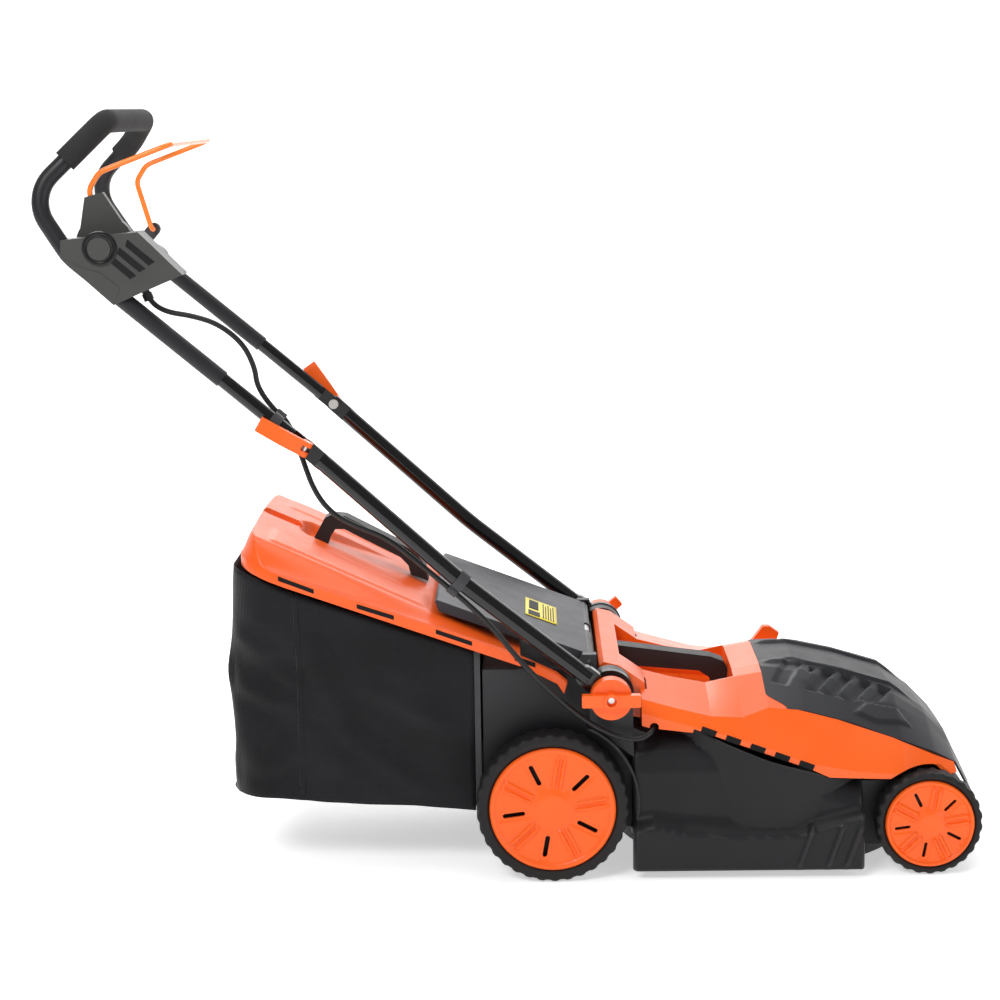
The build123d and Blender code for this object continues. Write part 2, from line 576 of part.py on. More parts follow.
KNOB_FACE = 240.0
with BuildPart() as knob_left:
    y_bar(KNOB_AXIS, 27, 209 + GAP, 228)
    y_bar(KNOB_AXIS, 10, 226, KNOB_FACE)
    with BuildSketch(Plane.XZ.offset(-KNOB_FACE + 2)) as wing:
        with Locations(Location(KNOB_AXIS, 40)):
            RectangleRounded(76, 16, 2)
    extrude(wing.sketch, amount=12)
    y_bar(KNOB_AXIS, 4.0 + FIT, 200, 233, mode=Mode.SUBTRACT)
    y_bar(KNOB_AXIS, 6.5, 232.5, KNOB_FACE + 1, mode=Mode.SUBTRACT)
save(knob_left.part, "knob_left")
with BuildPart() as knob_right:
    mirror(knob_left.part.rotate(Axis(on_y(KNOB_AXIS, 0), (0, 1, 0)), 40), about=Plane.XZ)
save(knob_right.part, "knob_right")

MATT_END = from_clamp(135)
handle_points = [on_y(MATT_END, 203), (-598, 202, 826), (-645, 197, 900), (-583, 180, 961), (-557, 140, 992)]
handle_radii = [70, 48, 45, 40]
GRIP_SHARE = 0.71        # where the grip starts on the straight run before its bend


def loop(points, radii):
    """Both halves of a path that is mirrored across the centre plane."""
    other = [(x, -y, z) for x, y, z in reversed(points)]
    return points + other, radii + list(reversed(radii))


with BuildPart() as handle_tube:
    points, radii = loop(handle_points, handle_radii)
    pipe(points, radii, UPPER_TUBE_R, bore=MID_TUBE_R + FIT)
save(handle_tube.part, "handle_tube")

GRIP_R = 15.0
grip_start = tuple(a + (b - a) * GRIP_SHARE for a, b in zip(handle_points[2], handle_points[3]))
with BuildPart() as foam_grip:
    points, radii = loop([grip_start] + handle_points[3:], handle_radii[2:])
    pipe(points, radii, GRIP_R, bore=UPPER_TUBE_R + 0.1)
save(foam_grip.part, "foam_grip")

with BuildPart() as mid_tubes:
    for side in (-1, 1):
        tube_start = from_clamp(22)
        bar_between(on_y(tube_start, side * TUBE_Y), on_y(MATT_END, side * TUBE_Y), MID_TUBE_R)
        y_low, y_high = sorted((side * 198.6, side * 202.6))
        link_plate(CLAMP_AXIS, from_clamp(26), 9.5, y_low, y_high)
    y_bar(CLAMP_AXIS, 3.0 + FIT, -215, 215, mode=Mode.SUBTRACT)
save(mid_tubes.part, "mid_tubes")

CAM_Y = 214.6
CAM_R = 7.0
LEVER_TILT = {-1: -10.0, 1: 15.0}   # degrees about +Y between each closed lever and its tube
clamp_line = Axis(on_y(CLAMP_AXIS, 0), (0, 1, 0))


def from_cam(side, across):
    """An X-Z point on a lever's cam axis, measured from the clamp's centre."""
    turn = radians(LEVER_TILT[side])
    run_x, run_z = tube_across[0] * across, tube_across[1] * across
    return (CLAMP_AXIS[0] + run_x * cos(turn) + run_z * sin(turn),
            CLAMP_AXIS[1] - run_x * sin(turn) + run_z * cos(turn))


with BuildPart() as cam_bolts:
    for side in (-1, 1):
        y_low, y_high = sorted((side * 192, side * 198.4))
        y_bar(CLAMP_AXIS, 7.0, y_low, y_high)
        y_low, y_high = sorted((side * 198, side * CAM_Y))
        y_bar(CLAMP_AXIS, 3.0, y_low, y_high)
        bar_between(on_y(from_cam(side, -10), side * CAM_Y), on_y(from_cam(side, 10), side * CAM_Y), 2.5)
save(cam_bolts.part, "cam_bolts")

with BuildPart() as lever_form:
    for side in (-1, 1):
        bar_between(on_y(from_clamp(0, side * 3.6), CAM_Y), on_y(from_clamp(0, side * 10), CAM_Y), CAM_R)
    arm_plane = Plane(origin=on_y(CLAMP_AXIS, 0), x_dir=(tube_dir[0], 0, tube_dir[1]),
                      z_dir=(-tube_across[0], 0, -tube_across[1]))
    with BuildSketch(arm_plane.offset(-10)) as arm:
        with BuildLine():
            Polyline((0, 216), (0, 221), (30, 226), (64, 224), (66, 221), (60, 219.5), (20, 217), close=True)
        make_face()
    extrude(arm.sketch, amount=20)
    bar_between(on_y(from_clamp(0, -3.6), CAM_Y), on_y(from_clamp(0, 3.6), CAM_Y), CAM_R + 1,
                mode=Mode.SUBTRACT)
    bar_between(on_y(from_clamp(0, -15), CAM_Y), on_y(from_clamp(0, 15), CAM_Y), 2.5 + FIT, mode=Mode.SUBTRACT)
with BuildPart() as cam_lever_left:
    add(lever_form.part.rotate(clamp_line, LEVER_TILT[1]))
save(cam_lever_left.part, "cam_lever_left")
with BuildPart() as cam_lever_right:
    mirror(lever_form.part.rotate(clamp_line, LEVER_TILT[-1]), about=Plane.XZ)
save(cam_lever_right.part, "cam_lever_right")


# --- switch box and bail ----------------------------------------------------
BOX_FACE, BOX_BACK = -215.0, -176.0
gland_top = Vector(-514, -188, 798.6)
gland_run = (Vector(-500, -188, 763.6) - gland_top).normalized()


def along_gland(distance):
    """A point on the cable's straight way out of the switch box."""
    return tuple(gland_top + gland_run * distance)


box_side = [(-605, 847), (-508, 856), (-454, 802), (-542, 765.5), (-605.5, 824)]
box_room = [(-580, 834), (-576, 843), (-512, 850), (-470, 806), (-500, 794), (-528, 793)]
BUTTON = (-556.0, 836.0)
with BuildPart() as switch_box:
    side_plate(box_side, BOX_FACE, BOX_BACK)
    side_plate(box_room, BOX_FACE - 1, BOX_BACK - 4, mode=Mode.SUBTRACT)
    y_bar(BUTTON, 14.0 + GAP, BOX_FACE - 1, -206, mode=Mode.SUBTRACT)
    bar_between(along_gland(0), along_gland(37.7), 5.02, mode=Mode.SUBTRACT)
    y_bar(BAIL_AXIS, 6.0 + FIT, BOX_BACK - 10, BOX_BACK + 5, mode=Mode.SUBTRACT)
    with BuildPart(mode=Mode.PRIVATE) as tube_room:
        pipe([(x, -y, z) for x, y, z in handle_points[:3]], handle_radii[:1], UPPER_TUBE_R + 0.05)
    add(tube_room.part, mode=Mode.SUBTRACT)
save(switch_box.part, "switch_box")

COVER_FACE = -218.0
with BuildPart() as switch_cover:
    side_plate(box_side, COVER_FACE, BOX_FACE)
    y_bar(BUTTON, 14.0 + GAP, COVER_FACE - 1, BOX_FACE + 1, mode=Mode.SUBTRACT)
save(switch_cover.part, "switch_cover")

with BuildPart() as lock_button:
    y_bar(BUTTON, 14.0, -224, -212)
    y_bar(BUTTON, 4.0, -213, -202)
save(lock_button.part, "lock_button")
with BuildPart() as button_spring:
    y_bar(BUTTON, 7.0, -211.8, -192.2)
    y_bar(BUTTON, 5.2, -213, -190, mode=Mode.SUBTRACT)
save(button_spring.part, "button_spring")
with BuildPart() as microswitch:
    block(-534, -506, -204, -192, 806, 822)
    block(-528, -516, -206, -203, 810, 818)
save(microswitch.part, "microswitch")

with BuildPart() as switch_hub:
    y_bar(BAIL_AXIS, 37, -174.5, -161.5)
    y_bar(BAIL_AXIS, 6.0, -189, -170)
    side_plate([(-590, 850), (-581, 898), (-558, 904), (-528, 856)], -174.5, -161.5)
    bar_between((-562, -168, 866), (-577, -168, 906), BAIL_R + 0.02, mode=Mode.SUBTRACT)
save(switch_hub.part, "switch_hub")

BAIL_Y = 168.0
bail_points = [(-562, -BAIL_Y, 866), (-577, -BAIL_Y, 906), (-562, -BAIL_Y, 929), (-472, -BAIL_Y, 962),
               (-472, BAIL_Y, 962), (-562, BAIL_Y, 929), (-577, BAIL_Y, 906), (-558, BAIL_Y, 838),
               (-558, 192, 838)]
with BuildPart() as bail:
    pipe(bail_points, [18, 24, 14, 14, 24, 18, 9], BAIL_R)
save(bail.part, "bail")

tube_up = (Vector(*handle_points[1]) - Vector(*handle_points[0])).normalized()
foot = Vector(*handle_points[1]) - tube_up * 22
bracket_foot = (foot.X, foot.Z)
with BuildPart() as bail_bracket:
    link_plate(BAIL_AXIS, bracket_foot, 9, 183, 191)
    bar_between(tuple(foot - tube_up * 2), tuple(foot - tube_up * 24), UPPER_TUBE_R + 3)
    bar_between(tuple(foot), tuple(foot - tube_up * 26), UPPER_TUBE_R + 0.05, mode=Mode.SUBTRACT)
    y_bar(BAIL_AXIS, BAIL_R + FIT, 180, 195, mode=Mode.SUBTRACT)
save(bail_bracket.part, "bail_bracket")

INLET = (-500.0, 818.0)
PIN_R, PIN_LENGTH, PIN_PITCH = 2.4, 19.0, 19.0
with BuildPart() as mains_inlet:
    y_bar(INLET, 19, BOX_BACK, BOX_BACK + 28)
    y_bar(INLET, 16.5, BOX_BACK + 4, BOX_BACK + 29, mode=Mode.SUBTRACT)
    for side in (-1, 1):
        spot = (INLET[0] + side * PIN_PITCH / 2, INLET[1])
        y_bar(spot, PIN_R, BOX_BACK + 3, BOX_BACK + 4 + PIN_LENGTH)
save(mains_inlet.part, "mains_inlet")


# --- cable from the switch box to the motor ---------------------------------
# The upper clip holds it beside the mid tube, and the lower clip under the lower tube.
clip_high = from_clamp(CLIP_HIGH, 9)
CLIP_LOW_DROP = 16.5
clip_low = (bend_middle[0] - tube_across[0] * CLIP_LOW_DROP, bend_middle[1] - tube_across[1] * CLIP_LOW_DROP)
HIGH_Y, LOW_Y = -188.0, -203.0
RUN = 13.0               # half of the straight run through a clip


def beside(clip, y, along):
    """A point on the run through a clip."""
    return (clip[0] + tube_dir[0] * along, y, clip[1] + tube_dir[1] * along)


upper_route = [(-507, -188, 781), (-501, -188, 766), (-481, -187, 753), (-449, -186, 748), (-416, -186, 737),
               (-386, -186, 712), (-372, -186, 681), (-370, -187, 657), beside(clip_high, HIGH_Y, RUN),
               beside(clip_high, HIGH_Y, 0)]
middle_route = [beside(clip_high, HIGH_Y, 0), beside(clip_high, HIGH_Y, -RUN), (-316, -187, 566),
                (-301, -194, 522), (-278, -197, 492), (-247, -200, 476), (-208, -202, 461), (-172, -203, 431),
                beside(clip_low, LOW_Y, RUN), beside(clip_low, LOW_Y, 0)]
lower_route = [beside(clip_low, LOW_Y, 0), beside(clip_low, LOW_Y, -RUN), (-79, -204, 347), (-38, -205, 294),
               (8, -206, 247), (48, -206, 213), (84, -206, 194), (113, -205, 189), (129, -199, 196),
               (134, -188, 203), (134, -172, 205)]


def turn_radii(points, smallest):
    """Each corner's arc: 0.45 of its shorter run over the tangent of half its turn."""
    radii = []
    for before, here, after in zip(points, points[1:], points[2:]):
        run_in = Vector(*here) - Vector(*before)
        run_out = Vector(*after) - Vector(*here)
        turn = radians(run_in.get_angle(run_out))
        radii.append(max(smallest, 0.45 * min(run_in.length, run_out.length) / tan(turn / 2)))
    return radii


for name, route in (("cable_upper", upper_route), ("cable_middle", middle_route),
                    ("cable_lower", lower_route)):
    radii = turn_radii(route, 2 * CABLE_R)
    with BuildPart() as cable:
        pipe(route, radii, CABLE_R)
    with BuildLine() as line:
        FilletPolyline(*route, radius=radii)
    length = sum(edge.length for edge in line.edges())
    print(name, "length", round(length, 1), "radii", [round(r) for r in radii],
          "volume ratio", round(cable.part.volume / (pi * CABLE_R ** 2 * length), 4))
    save(cable.part, name)

with BuildPart() as cable_gland:
    bar_between(along_gland(22.8), along_gland(32.4), 6.5)
    bar_between(along_gland(3.9), along_gland(23), 5.0)
    bar_between(along_gland(0), along_gland(37.7), CABLE_R + 0.02, mode=Mode.SUBTRACT)
save(cable_gland.part, "cable_gland")


def clip_body(tube_centre, tube_y, tube_r, cable_centre, cable_y, half):
    """A moulded ring round a tube with a cable eye beside it."""
    start = Vector(tube_centre[0] - tube_dir[0] * half, tube_y, tube_centre[1] - tube_dir[1] * half)
    end = Vector(tube_centre[0] + tube_dir[0] * half, tube_y, tube_centre[1] + tube_dir[1] * half)
    eye = Vector(cable_centre[0], cable_y, cable_centre[1])
    push = Vector(tube_dir[0] * half, 0, tube_dir[1] * half)
    reach = Vector(tube_dir[0] * 2, 0, tube_dir[1] * 2)
    bar_between(tuple(start), tuple(end), tube_r + 2.5)
    bar_between(tuple(eye - push), tuple(eye + push), CABLE_R + 2.2)
    bar_between(tuple(start - reach), tuple(end + reach), tube_r + 0.05, mode=Mode.SUBTRACT)
    bar_between(tuple(eye - push - reach), tuple(eye + push + reach), CABLE_R + FIT, mode=Mode.SUBTRACT)


with BuildPart() as cable_clip_upper:
    clip_body(from_clamp(CLIP_HIGH), -TUBE_Y, MID_TUBE_R, clip_high, HIGH_Y, 7)
save(cable_clip_upper.part, "cable_clip_upper")
with BuildPart() as cable_clip_lower:
    clip_body(bend_middle, -TUBE_Y, LOWER_TUBE_R + 0.06, clip_low, LOW_Y, 7)
save(cable_clip_lower.part, "cable_clip_lower")


# --- grass box --------------------------------------------------------------
LID_Y = 187.0
RIM_FRONT = (-40.0, 285.0)
RIM_REAR = (-407.0, 416.0)
rim_run = hypot(RIM_REAR[0] - RIM_FRONT[0], RIM_REAR[1] - RIM_FRONT[1])
rim_dir = ((RIM_REAR[0] - RIM_FRONT[0]) / rim_run, (RIM_REAR[1] - RIM_FRONT[1]) / rim_run)
rim_plane = Plane(origin=on_y(RIM_FRONT, 0), x_dir=(rim_dir[0], 0, rim_dir[1]),
                  z_dir=(rim_dir[1], 0, -rim_dir[0]))
TOP_FRONT = (-62.0, 307.0)
TOP_REAR = (-392.0, 455.0)
top_run = hypot(TOP_REAR[0] - TOP_FRONT[0], TOP_REAR[1] - TOP_FRONT[1])
top_dir = ((TOP_REAR[0] - TOP_FRONT[0]) / top_run, (TOP_REAR[1] - TOP_FRONT[1]) / top_run)
top_plane = Plane(origin=on_y(TOP_FRONT, 0), x_dir=(top_dir[0], 0, top_dir[1]),
                  z_dir=(top_dir[1], 0, -top_dir[0]))
BAND = 14.0


def lid_outline(plane, length, half, corner, inset):
    """The lid's plan outline on a sloping plane, square in front and round behind."""
    with BuildSketch(plane) as outline:
        with Locations((length / 2, 0)):
            Rectangle(length - 2 * inset, 2 * (half - inset))
        fillet(outline.vertices().group_by(Axis.X)[-1 if plane.x_dir.X > 0 else 0], corner - inset)
    return outline.sketch.faces()[0]


def lid_solid(inset):
    """The lid's outer form, or the room inside it."""
    low = lid_outline(rim_plane, rim_run, LID_Y, 62, inset)
    band = lid_outline(rim_plane.offset(BAND - inset), rim_run, LID_Y, 62, inset)
    top = lid_outline(top_plane.offset(-inset), top_run, LID_Y - 38, 46, inset)
    loft([low, band, top], ruled=True)


FILL_HINGE = (-344.0, 428.0)
lid_recess_outer = [(-404, 520), (-400, 436), (-330, 418), (-309, 414), (-150, 352), (-150, 520)]
lid_recess_inner = [(-401, 530), (-397, 439), (-330, 421), (-309, 417), (-153, 356.5), (-153, 530)]
with BuildPart() as grass_lid:
    lid_solid(0.0)
    with BuildPart(mode=Mode.PRIVATE) as lid_whole:
        add(grass_lid.part)
    with BuildPart(mode=Mode.PRIVATE) as lid_room:
        lid_solid(2.5)
        extrude(lid_outline(rim_plane.offset(-10), rim_run, LID_Y, 62, 2.5), amount=12)
    add(lid_room.part, mode=Mode.SUBTRACT)
    with BuildPart(mode=Mode.PRIVATE) as lid_tray:
        side_plate(lid_recess_outer, -43, 43)
        add(lid_whole.part, mode=Mode.INTERSECT)
    add(lid_tray.part)
    side_plate(lid_recess_inner, -40, 40, mode=Mode.SUBTRACT)
    for side in (-1, 1):
        y_low, y_high = sorted((side * 172, side * LID_Y))
        side_plate([(-60, 292.2), (-60, 306), (8, 274), (22, 262), (17, 246), (8, 260), (-38, 284.4)],
                   y_low, y_high)
    block(-376, -348, -9, 9, 400, 460, mode=Mode.SUBTRACT)
    # lugs that carry the fill indicator's hinge
    for side in (-1, 1):
        y_low, y_high = sorted((side * 13, side * 17))
        block(-347, -341, y_low, y_high, 420, 431)
    y_bar(FILL_HINGE, 1.0 + FIT, -20, 20, mode=Mode.SUBTRACT)
save(grass_lid.part, "grass_lid")

BAG_Y = 168.0
bag_side = [(-101, 84), (-423, 107), (-427, 150), (-427, 260), (-418, 413), (-404, 409.5), (-101, 301.5)]
bag_room = [(-104, 87), (-420, 110), (-424, 150), (-424, 260), (-415, 440), (-104, 330)]
with BuildPart() as grass_bag:
    with BuildSketch(Plane.XY.offset(70)) as bag_plan:
        with Locations(((-101 - 427) / 2, 0)):
            Rectangle(427 - 101, 2 * BAG_Y)
        fillet(bag_plan.vertices().group_by(Axis.X)[0], 45)
    extrude(bag_plan.sketch, amount=400)
    side_plate(bag_side, -BAG_Y - 5, BAG_Y + 5, mode=Mode.INTERSECT)
    with BuildPart(mode=Mode.PRIVATE) as bag_hollow:
        with BuildSketch(Plane.XY.offset(70)) as room_plan:
            with Locations(((-101 - 427) / 2, 0)):
                Rectangle(427 - 101 - 6, 2 * BAG_Y - 6)
            fillet(room_plan.vertices().group_by(Axis.X)[0], 42)
        extrude(room_plan.sketch, amount=400)
        side_plate(bag_room, -BAG_Y - 5, BAG_Y + 5, mode=Mode.INTERSECT)
    add(bag_hollow.part, mode=Mode.SUBTRACT)
    block(-110, -90, -TUNNEL, TUNNEL, 104, 268, mode=Mode.SUBTRACT)
save(grass_bag.part, "grass_bag")

with BuildPart() as bag_frame:
    block(-100.8, -93, -BAG_Y, BAG_Y, 84, 300)
    block(-110, -90, -TUNNEL, TUNNEL, 104, 268, mode=Mode.SUBTRACT)
save(bag_frame.part, "bag_frame")

grip_outer = [(-324, 420.2), (-306, 452), (-298, 456), (-278, 454), (-184, 404), (-170, 384), (-166, 361.7),
              (-190, 370.9), (-193, 384), (-204, 396), (-280, 436), (-292, 436), (-299, 426),
               (-303, 414.9), (-309, 417.3)]
with BuildPart() as bag_handle:
    side_plate(grip_outer, -14, 14)
save(bag_handle.part, "bag_handle")

with BuildPart() as fill_flap:
    side_plate([(-344, 427.0), (-344, 430.0), (-384, 440.5), (-384, 437.8)], -12, 12)
    y_bar(FILL_HINGE, 2.5, -12, 12)
    y_bar(FILL_HINGE, 1.0, -17.5, 17.5)
save(fill_flap.part, "fill_flap")
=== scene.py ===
import bpy
import bmesh
import json
from math import cos, hypot, pi, radians, sin
from mathutils import Matrix, Vector, noise


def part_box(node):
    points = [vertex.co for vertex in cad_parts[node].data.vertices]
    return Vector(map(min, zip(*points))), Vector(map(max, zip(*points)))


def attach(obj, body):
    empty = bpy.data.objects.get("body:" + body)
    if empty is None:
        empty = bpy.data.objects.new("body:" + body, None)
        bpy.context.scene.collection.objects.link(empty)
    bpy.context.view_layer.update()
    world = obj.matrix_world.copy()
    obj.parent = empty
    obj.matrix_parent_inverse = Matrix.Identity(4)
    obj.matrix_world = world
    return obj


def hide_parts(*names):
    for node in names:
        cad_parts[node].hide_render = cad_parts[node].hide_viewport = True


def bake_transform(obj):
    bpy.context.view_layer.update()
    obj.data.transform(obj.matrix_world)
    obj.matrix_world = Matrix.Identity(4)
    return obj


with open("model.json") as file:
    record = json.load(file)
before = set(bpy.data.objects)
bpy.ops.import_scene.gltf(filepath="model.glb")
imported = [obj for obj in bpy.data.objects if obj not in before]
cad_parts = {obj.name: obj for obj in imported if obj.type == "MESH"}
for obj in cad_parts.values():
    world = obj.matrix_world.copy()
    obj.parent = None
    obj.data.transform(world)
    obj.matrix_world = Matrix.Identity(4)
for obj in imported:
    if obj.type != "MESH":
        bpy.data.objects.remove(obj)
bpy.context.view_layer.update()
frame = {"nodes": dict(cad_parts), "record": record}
nodes = frame["nodes"]

MM = 0.001


# --- small helpers ------------------------------------------------------------
def point(x, y, z):
    """A point given in millimetres."""
    return Vector((x * MM, y * MM, z * MM))


def between(table, x):
    """Straight-line interpolation in a list of (x, value)."""
    if x <= table[0][0]:
        return table[0][1]
    for (x0, v0), (x1, v1) in zip(table, table[1:]):
        if x <= x1:
            return v0 + (v1 - v0) * (x - x0) / (x1 - x0)
    return table[-1][1]


def smooth_step(t):
    t = min(max(t, 0.0), 1.0)
    return t * t * (3 - 2 * t)


def new_object(name, mesh, material):
    """Link a mesh as an object with one material."""
    piece = bpy.data.objects.new(name, mesh)
    bpy.context.scene.collection.objects.link(piece)
    mesh.materials.append(material)
    return piece


def shade(mesh, angle=35.0):
    """Smooth shading with sharp edges above an angle."""
    for face in mesh.polygons:
        face.use_smooth = True
    mesh.set_sharp_from_angle(angle=radians(angle))


def mesh_piece(name, verts, faces, material, angle=35.0):
    """A mesh object from vertices in millimetres."""
    mesh = bpy.data.meshes.new(name)
    mesh.from_pydata([point(*v) for v in verts], [], faces)
    mesh.update()
    shade(mesh, angle)
    return new_object(name, mesh, material)


def grid_piece(name, rows, material, close_rows=False, close_columns=False, caps=False, angle=35.0):
    """Quads over rows of points in millimetres. caps closes the first and last row with a face."""
    columns = len(rows[0])
    verts = [p for row in rows for p in row]
    faces = []
    for i in range(len(rows) if close_rows else len(rows) - 1):
        for j in range(columns if close_columns else columns - 1):
            a = i * columns + j
            b = i * columns + (j + 1) % columns
            c = (i + 1) % len(rows) * columns + (j + 1) % columns
            d = (i + 1) % len(rows) * columns + j
            faces.append((a, b, c, d))
    if caps:
        faces.append(tuple(range(columns - 1, -1, -1)))
        faces.append(tuple((len(rows) - 1) * columns + j for j in range(columns)))
    return mesh_piece(name, verts, faces, material, angle)


def face_outwards(piece):
    """Make a mesh's normals consistent."""
    bm = bmesh.new()
    bm.from_mesh(piece.data)
    bmesh.ops.remove_doubles(bm, verts=bm.verts, dist=1e-6)
    bmesh.ops.recalc_face_normals(bm, faces=bm.faces)
    bm.to_mesh(piece.data)
    bm.free()
    return piece


def bevel(piece, width_mm, segments=2, angle=30.0):
    modifier = piece.modifiers.new("soft_edges", "BEVEL")
    modifier.width = width_mm * MM
    modifier.segments = segments
    modifier.limit_method = "ANGLE"
    modifier.angle_limit = radians(angle)
    modifier.harden_normals = True
    return piece


def solidify(piece, thickness_mm, offset=-1.0):
    modifier = piece.modifiers.new("wall", "SOLIDIFY")
    modifier.thickness = thickness_mm * MM
    modifier.offset = offset
    return piece


def plate_piece(name, outline, y_from, y_to, material, width=0.6):
    """A plate with an X-Z outline between two Y positions, with soft edges."""
    count = len(outline)
    verts = [(x, y, z) for y in (y_from, y_to) for x, z in outline]
    faces = [tuple(range(count - 1, -1, -1)), tuple(range(count, 2 * count))]
    faces += [(j, (j + 1) % count, count + (j + 1) % count, count + j) for j in range(count)]
    piece = mesh_piece(name, verts, faces, material)
    face_outwards(piece)
    return bevel(piece, width)


def apply_all(piece):
    """Turn a piece's modifiers into its mesh."""
    depsgraph = bpy.context.evaluated_depsgraph_get()
    mesh = bpy.data.meshes.new_from_object(piece.evaluated_get(depsgraph))
    piece.modifiers.clear()
    piece.data = mesh
    return piece


# --- materials ------------------------------------------------------------------
def make_material(name, colour, rough, rough_spread=0.08, tone=0.12, tone_size=9.0, grain=0.0,
                  grain_size=900.0, metallic=0.0, coat=0.0, specular=0.35, wear=0.0):
    """A moulded or painted surface: tone drifts slowly, gloss varies, and a fine grain catches the light."""
    material = bpy.data.materials.new(name)
    material.use_nodes = True
    tree = material.node_tree
    shader = tree.nodes["Principled BSDF"]
    shader.inputs["Metallic"].default_value = metallic
    shader.inputs["Coat Weight"].default_value = coat
    shader.inputs["Coat Roughness"].default_value = 0.12
    shader.inputs["Specular IOR Level"].default_value = specular
    coordinates = tree.nodes.new("ShaderNodeTexCoord")

    def noise_node(scale, detail):
        node = tree.nodes.new("ShaderNodeTexNoise")
        node.inputs["Scale"].default_value = scale
        node.inputs["Detail"].default_value = detail
        tree.links.new(coordinates.outputs["Object"], node.inputs["Vector"])
        return node

    drift = noise_node(tone_size, 3.0)
    ramp = tree.nodes.new("ShaderNodeValToRGB")
    ramp.color_ramp.elements[0].position = 0.3
    ramp.color_ramp.elements[1].position = 0.7
    ramp.color_ramp.elements[0].color = [c * (1 - tone) for c in colour] + [1]
    ramp.color_ramp.elements[1].color = [min(1, c * (1 + tone)) for c in colour] + [1]
    tree.links.new(drift.outputs["Fac"], ramp.inputs["Fac"])
    base = ramp.outputs["Color"]
    if wear:
        geometry = tree.nodes.new("ShaderNodeNewGeometry")
        edge = tree.nodes.new("ShaderNodeMapRange")
        edge.inputs["From Min"].default_value = 0.52
        edge.inputs["From Max"].default_value = 0.62
        tree.links.new(geometry.outputs["Pointiness"], edge.inputs["Value"])
        mix = tree.nodes.new("ShaderNodeMix")
        mix.data_type = "RGBA"
        tree.links.new(edge.outputs["Result"], mix.inputs["Factor"])
        tree.links.new(base, mix.inputs["A"])
        mix.inputs["B"].default_value = [min(1, c * (1 + wear) + 0.02 * wear) for c in colour] + [1]
        base = mix.outputs["Result"]
    tree.links.new(base, shader.inputs["Base Color"])
    gloss = noise_node(38.0, 4.0)
    spread = tree.nodes.new("ShaderNodeMapRange")
    spread.inputs["To Min"].default_value = max(0.03, rough - rough_spread)
    spread.inputs["To Max"].default_value = min(1.0, rough + rough_spread)
    tree.links.new(gloss.outputs["Fac"], spread.inputs["Value"])
    tree.links.new(spread.outputs["Result"], shader.inputs["Roughness"])
    if grain:
        texture = noise_node(grain_size, 2.0)
        bump = tree.nodes.new("ShaderNodeBump")
        bump.inputs["Strength"].default_value = grain
        bump.inputs["Distance"].default_value = 0.0004
        tree.links.new(texture.outputs["Fac"], bump.inputs["Height"])
        tree.links.new(bump.outputs["Normal"], shader.inputs["Normal"])
    return material


def weave_material(name, colour, thread_mm, rough=0.75):
    """Coated woven cloth: two crossed sets of threads, with sheen and a drifting tone."""
    material = make_material(name, colour, rough, tone=0.25, tone_size=14.0, specular=0.14)
    tree = material.node_tree
    shader = tree.nodes["Principled BSDF"]
    shader.inputs["Sheen Weight"].default_value = 0.08
    shader.inputs["Sheen Roughness"].default_value = 0.5
    coordinates = tree.nodes["Texture Coordinate"]
    heights = []
    for direction in ("X", "Z"):
        wave = tree.nodes.new("ShaderNodeTexWave")
        wave.bands_direction = direction
        wave.inputs["Scale"].default_value = 1.0 / (thread_mm * MM) / 3.2
        wave.inputs["Distortion"].default_value = 0.6
        tree.links.new(coordinates.outputs["Object"], wave.inputs["Vector"])
        heights.append(wave)
    total = tree.nodes.new("ShaderNodeMath")
    total.operation = "ADD"
    tree.links.new(heights[0].outputs["Fac"], total.inputs[0])
    tree.links.new(heights[1].outputs["Fac"], total.inputs[1])
    bump = tree.nodes.new("ShaderNodeBump")
    bump.inputs["Strength"].default_value = 0.35
    bump.inputs["Distance"].default_value = 0.0006
    tree.links.new(total.outputs["Value"], bump.inputs["Height"])
    tree.links.new(bump.outputs["Normal"], shader.inputs["Normal"])
    return material


